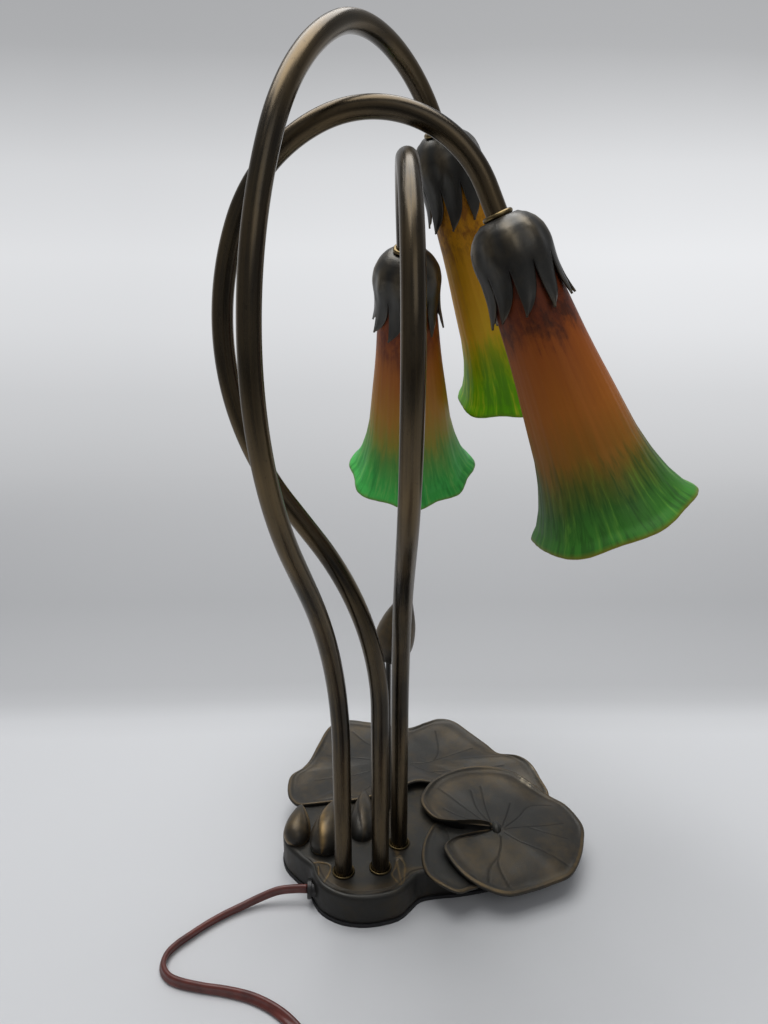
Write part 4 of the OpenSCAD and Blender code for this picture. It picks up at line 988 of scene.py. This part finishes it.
def slab():
    """The body under the pads: a wall up from the foam, rounded over into a top that is polar
    about the lobe, with leaves engraved on the lobe. A dark line runs along the groove just
    inside the lobe's edge, and from partway round the rounded edge down, the wall and the
    hollow inside are painted darker as shade."""
    centre = np.array([-10.0, 6.0, BASE_TOP])
    curve = curve_through(WALL, 14, closed=True)
    curve = np.concatenate([curve, np.full((len(curve), 1), BASE_TOP)], 1)[None]
    ahead = np.roll(curve, -1, 1) - np.roll(curve, 1, 1)
    out = unit(np.cross(ahead, UP))
    t = angles(90, 0, 8)[:, None, None]
    bend = curve - out * ROUND * (1 - np.cos(t)) - UP * ROUND * (1 - np.sin(t))
    wall = [curve - UP * drop for drop in (4, 7, 11, 14, 16.4)]
    tall = UP * (BASE_TOP - FOAM_TOP)
    foot = [curve - out * 0.5 - tall, curve - out * 3.2 - tall]
    cavity = [curve - out * 3.4 - UP * 12, curve - out * 3.5 - UP * 4]
    share = (1 - np.linspace(0, 1, 70) ** 1.1)[1:, None, None]
    top = centre + share * (bend[:1] - centre)
    inside = [centre - UP * 4 + (cavity[-1] - centre + UP * 4) * k for k in (0.8, 0.4, 0)]
    inland = ((1 - share) * np.linalg.norm(bend[:1] - centre, axis=-1, keepdims=True))[..., 0]
    on_lobe = 1 - step_up(top[..., 1], 2, 10)
    gap = from_lines(top, LEAVES)
    low = 0.2 * hill(gap, 0.35) + 0.4 * on_lobe * (1 - step_up(inland, 1.6, 2.8))
    top[..., 2] += 0.5 * ripple(top) - low
    bend = under_front_pad(bend)
    top = under_front_pad(top)
    points = np.concatenate([top[::-1], bend, *wall, *foot, *cavity, *inside])
    wear = np.zeros(points.shape[:2])
    wear[:len(top)] = (0.65 * hill(gap, 0.38) + 0.2 * hill(inland - 4, 3) * on_lobe)[::-1]
    dark = np.zeros_like(wear)
    dark[:len(top)] = (0.6 * hill(inland - 2.2, 0.6) * on_lobe)[::-1]
    # Painted shade on the wall and the hollow inside.
    dark[len(top) + 4:] = 0.35
    return dict(points=points, wear=wear, dark=dark)


def low_leaf():
    """The small leaf under the front pad: a thin plate with a raised, rounded edge, dished
    inwards, drooping to its front corner, with a painted shadow where the front pad stands over
    it."""
    centre = np.array([37.0, 6.0, 19.3])
    curve, span, out = rim_of(LOW_PAD, 14, centre)
    rows = 48
    share = np.linspace(0, 1, rows)[:, None, None]
    top = centre + share * (curve - out * LEAF_LIP - centre)
    inland = ((1 - share) * span)[..., 0]
    top[..., 2] += 0.45 * hill(inland - 0.6, 1.1) - 0.25 * hill(inland - 4, 2) + 0.3 * ripple(top)
    lip = round_lip(top[-1:], out, LEAF_LIP, 75, -60, 7)
    foot = np.concatenate([curve - out * 2 - UP * 2.6, centre + 0.75 * (curve - centre) - UP * 3.6])
    base = np.broadcast_to(centre - UP * 4, foot[:1].shape)
    points = under_front_pad(np.concatenate([top, lip, foot, base]))
    wear = np.zeros(points.shape[:2])
    wear[:rows] = 0.4 * hill(inland - 0.3, 0.5)
    wear[rows:rows + 3] = [[0.4], [0.3], [0.1]]
    dark = np.zeros_like(wear)
    # Painted shadow of the front pad, darkest under its rim.
    dark[:rows] = 0.8 * hill(from_lines(top, [FRONT_RIM]), 3.2)
    return dict(points=points, wear=wear, dark=dark)


def navel(place, size):
    """The knob at the navel of a pad: half of an ellipsoid with the given half axes."""
    a = angles(0, 90, 14)
    made = lathe(np.stack([np.sin(a), np.cos(a)], 1), 36)
    return {**made, "points": made["points"] * size + place}


casting("cast_base", [slab()], "base_casting")
casting("front_lily_pad", [lily_pad(FRONT_PAD, FRONT_RIM, FRONT_VEINS, 0.8),
                           capped(navel([65.2, 28.4, 21.2], [3.2, 4.8, 3.8]))], "base_casting")
casting("back_lily_pad", [lily_pad(BACK_PAD, BACK_RIM, BACK_VEINS, 0.45)], "base_casting")
casting("low_leaf", [low_leaf()], "base_casting")
casting("resting_buds", [bud([-50.5, 16, 19.5], [-49, 40, 29], 15.5, 2, 0.35, 0.1),
                         bud([-35, 8, 20.5], [-28, 42, 31], 19, 3, 0.6, 0.62),
                         bud([-13, 20, 18.5], [-12, 57, 26], 16, 3, 0.5, 0.3, 0.2)],
        "base_casting")

# ---- Finishes of the nodes that keep their shape ----

def each(part):
    """The names of a part that every stem has."""
    return [f"{side}_{part}" for side in STEMS]


KEPT = {
    BLACK_FOAM: ["foam_pad"],
    ZINC: ["bottom_plate", "bottom_screws", "foot_washers", "foot_nuts", "switch_screws",
           *each("locknut")],
    BLACK_PLASTIC: ["cord_bushing", "cord_tie", *each("shade_ring")],
    YELLOW_PLASTIC: ["wire_connectors"],
    PHENOLIC: each("socket"),
    PLAIN_BRASS: ["switch_contacts", "plug_blades", *each("contact"), *each("screw_shell"),
                  *each("bulb_cap")],
    BULB_GLASS: each("bulb_glass"),
    BROWN_PLASTIC: ["switch_bottom", "switch_top", "plug_body", "switch_wheel"],
    BRONZE_CAST: ["bud_rod"],
}
for material, names in KEPT.items():
    for name in names:
        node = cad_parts[name]
        node.data.materials.clear()
        node.data.materials.append(material)

# ---- Stage ----

# The paper's tone, 0 to 255, by the run along it: floor depth, and then height up the wall.
# The tones are painted light and shade: dark on the floor out in front, a painted shade band
# just behind the object, brightest low on the wall and painted darker above.
PAPER_LIGHT_AND_SHADE = [[-2.5, 70], [-1.2, 78], [-0.6, 130], [-0.28, 216], [0.19, 218], [0.235, 186], [0.42, 174],
         [0.7, 188], [1.1, 207], [1.3, 216], [1.5, 231], [1.66, 238], [1.82, 226], [2.03, 182],
         [2.5, 160], [3.9, 140]]


def backdrop():
    """A pale sweep: a floor that curves up into a wall behind, with painted light and shade along
    its run and a painted shade towards its left. Far from the object, rays from the camera and
    mirrored ones see the tone itself, which lights nothing."""
    y = np.array([-2.5, -1.0, 0.2, 0.7, 0.95, 1.12, 1.22, 1.26, 1.27, 1.27])
    z = np.array([0, 0, 0, 0, 0.015, 0.07, 0.18, 0.34, 0.7, 2.6])
    line = curve_through(np.stack([y, z], 1), 6)
    x = np.linspace(-3, 3, 24)
    points = np.stack(np.broadcast_arrays(x[None], line[:, :1], line[:, 1:]), -1)
    mesh = bpy.data.meshes.new("sweep")
    mesh.from_pydata(points.reshape(-1, 3), [], grid_faces(len(line), len(x), False, False))
    made = blank("sweep_paper_painted_light", Roughness=0.7)
    tree, at = made.node_tree, object_place(made)
    aside, depth, height = (put(tree, "SeparateXYZ", {"Vector": at}, output=k) for k in "XYZ")
    low, high = PAPER_LIGHT_AND_SHADE[0][0], PAPER_LIGHT_AND_SHADE[-1][0]
    run = plus(plus(depth, height), times(noise(at, 2.2, 2, 0.5), 0.04))
    tone = ramp(spread(run, low, high), [
        ((place - low) / (high - low), rgb(0.985 * grey, 0.99 * grey, grey))
        for place, grey in PAPER_LIGHT_AND_SHADE])
    # Painted shade: the sweep's left side is mixed towards grey, up to 0.14 at the far left and
    # none at the right.
    tone = mixed(spread(aside, -0.5, 0.5, 0.14, 0), tone, rgb(130, 132, 136))
    dress(made, Base_Color=tone)
    seen, glossy, through = (put(tree, "LightPath", {}, output=f"Is {ray} Ray")
                             for ray in ("Camera", "Glossy", "Transmission"))
    seen = sums("MAXIMUM", sums("MAXIMUM", seen, glossy), through)
    shown = times(seen, spread(run, 0.42, 0.95))
    paper = tree.nodes["Principled BSDF"].outputs["BSDF"]
    plain = put(tree, "Emission", {"Color": tone, "Strength": 1.0})
    both = put(tree, "MixShader", {0: shown, 1: paper, 2: plain})
    feed(tree.nodes["Material Output"], {"Surface": both})
    shown_mesh("sweep", mesh, made)


def lamp_above(name, place, aim, size, watts):
    """A soft square light at a place, turned to a point."""
    light = bpy.data.lights.new(name, "AREA")
    light.size = size
    light.energy = watts
    made = in_scene(name, light)
    made.location = place
    ahead = np.subtract(aim, place)
    flat = np.hypot(ahead[0], ahead[1])
    made.rotation_euler = (np.arctan2(flat, -ahead[2]), 0, np.arctan2(-ahead[0], ahead[1]))


backdrop()
lamp_above("ceiling_light", (-0.1, 0.35, 1.7), (0.05, 0.05, 0.1), 1.5, 28)
lamp_above("front_light", (0.6, -1.5, 1.5), (0, 0, 0.25), 1.2, 4)
world = bpy.data.worlds.new("room")
world.use_nodes = True
sky = world.node_tree.nodes["Background"].inputs
sky["Color"].default_value = (0.93, 0.95, 1.0, 1)
sky["Strength"].default_value = 0.22
bpy.context.scene.world = world
bpy.context.scene.view_settings.view_transform = "Standard"
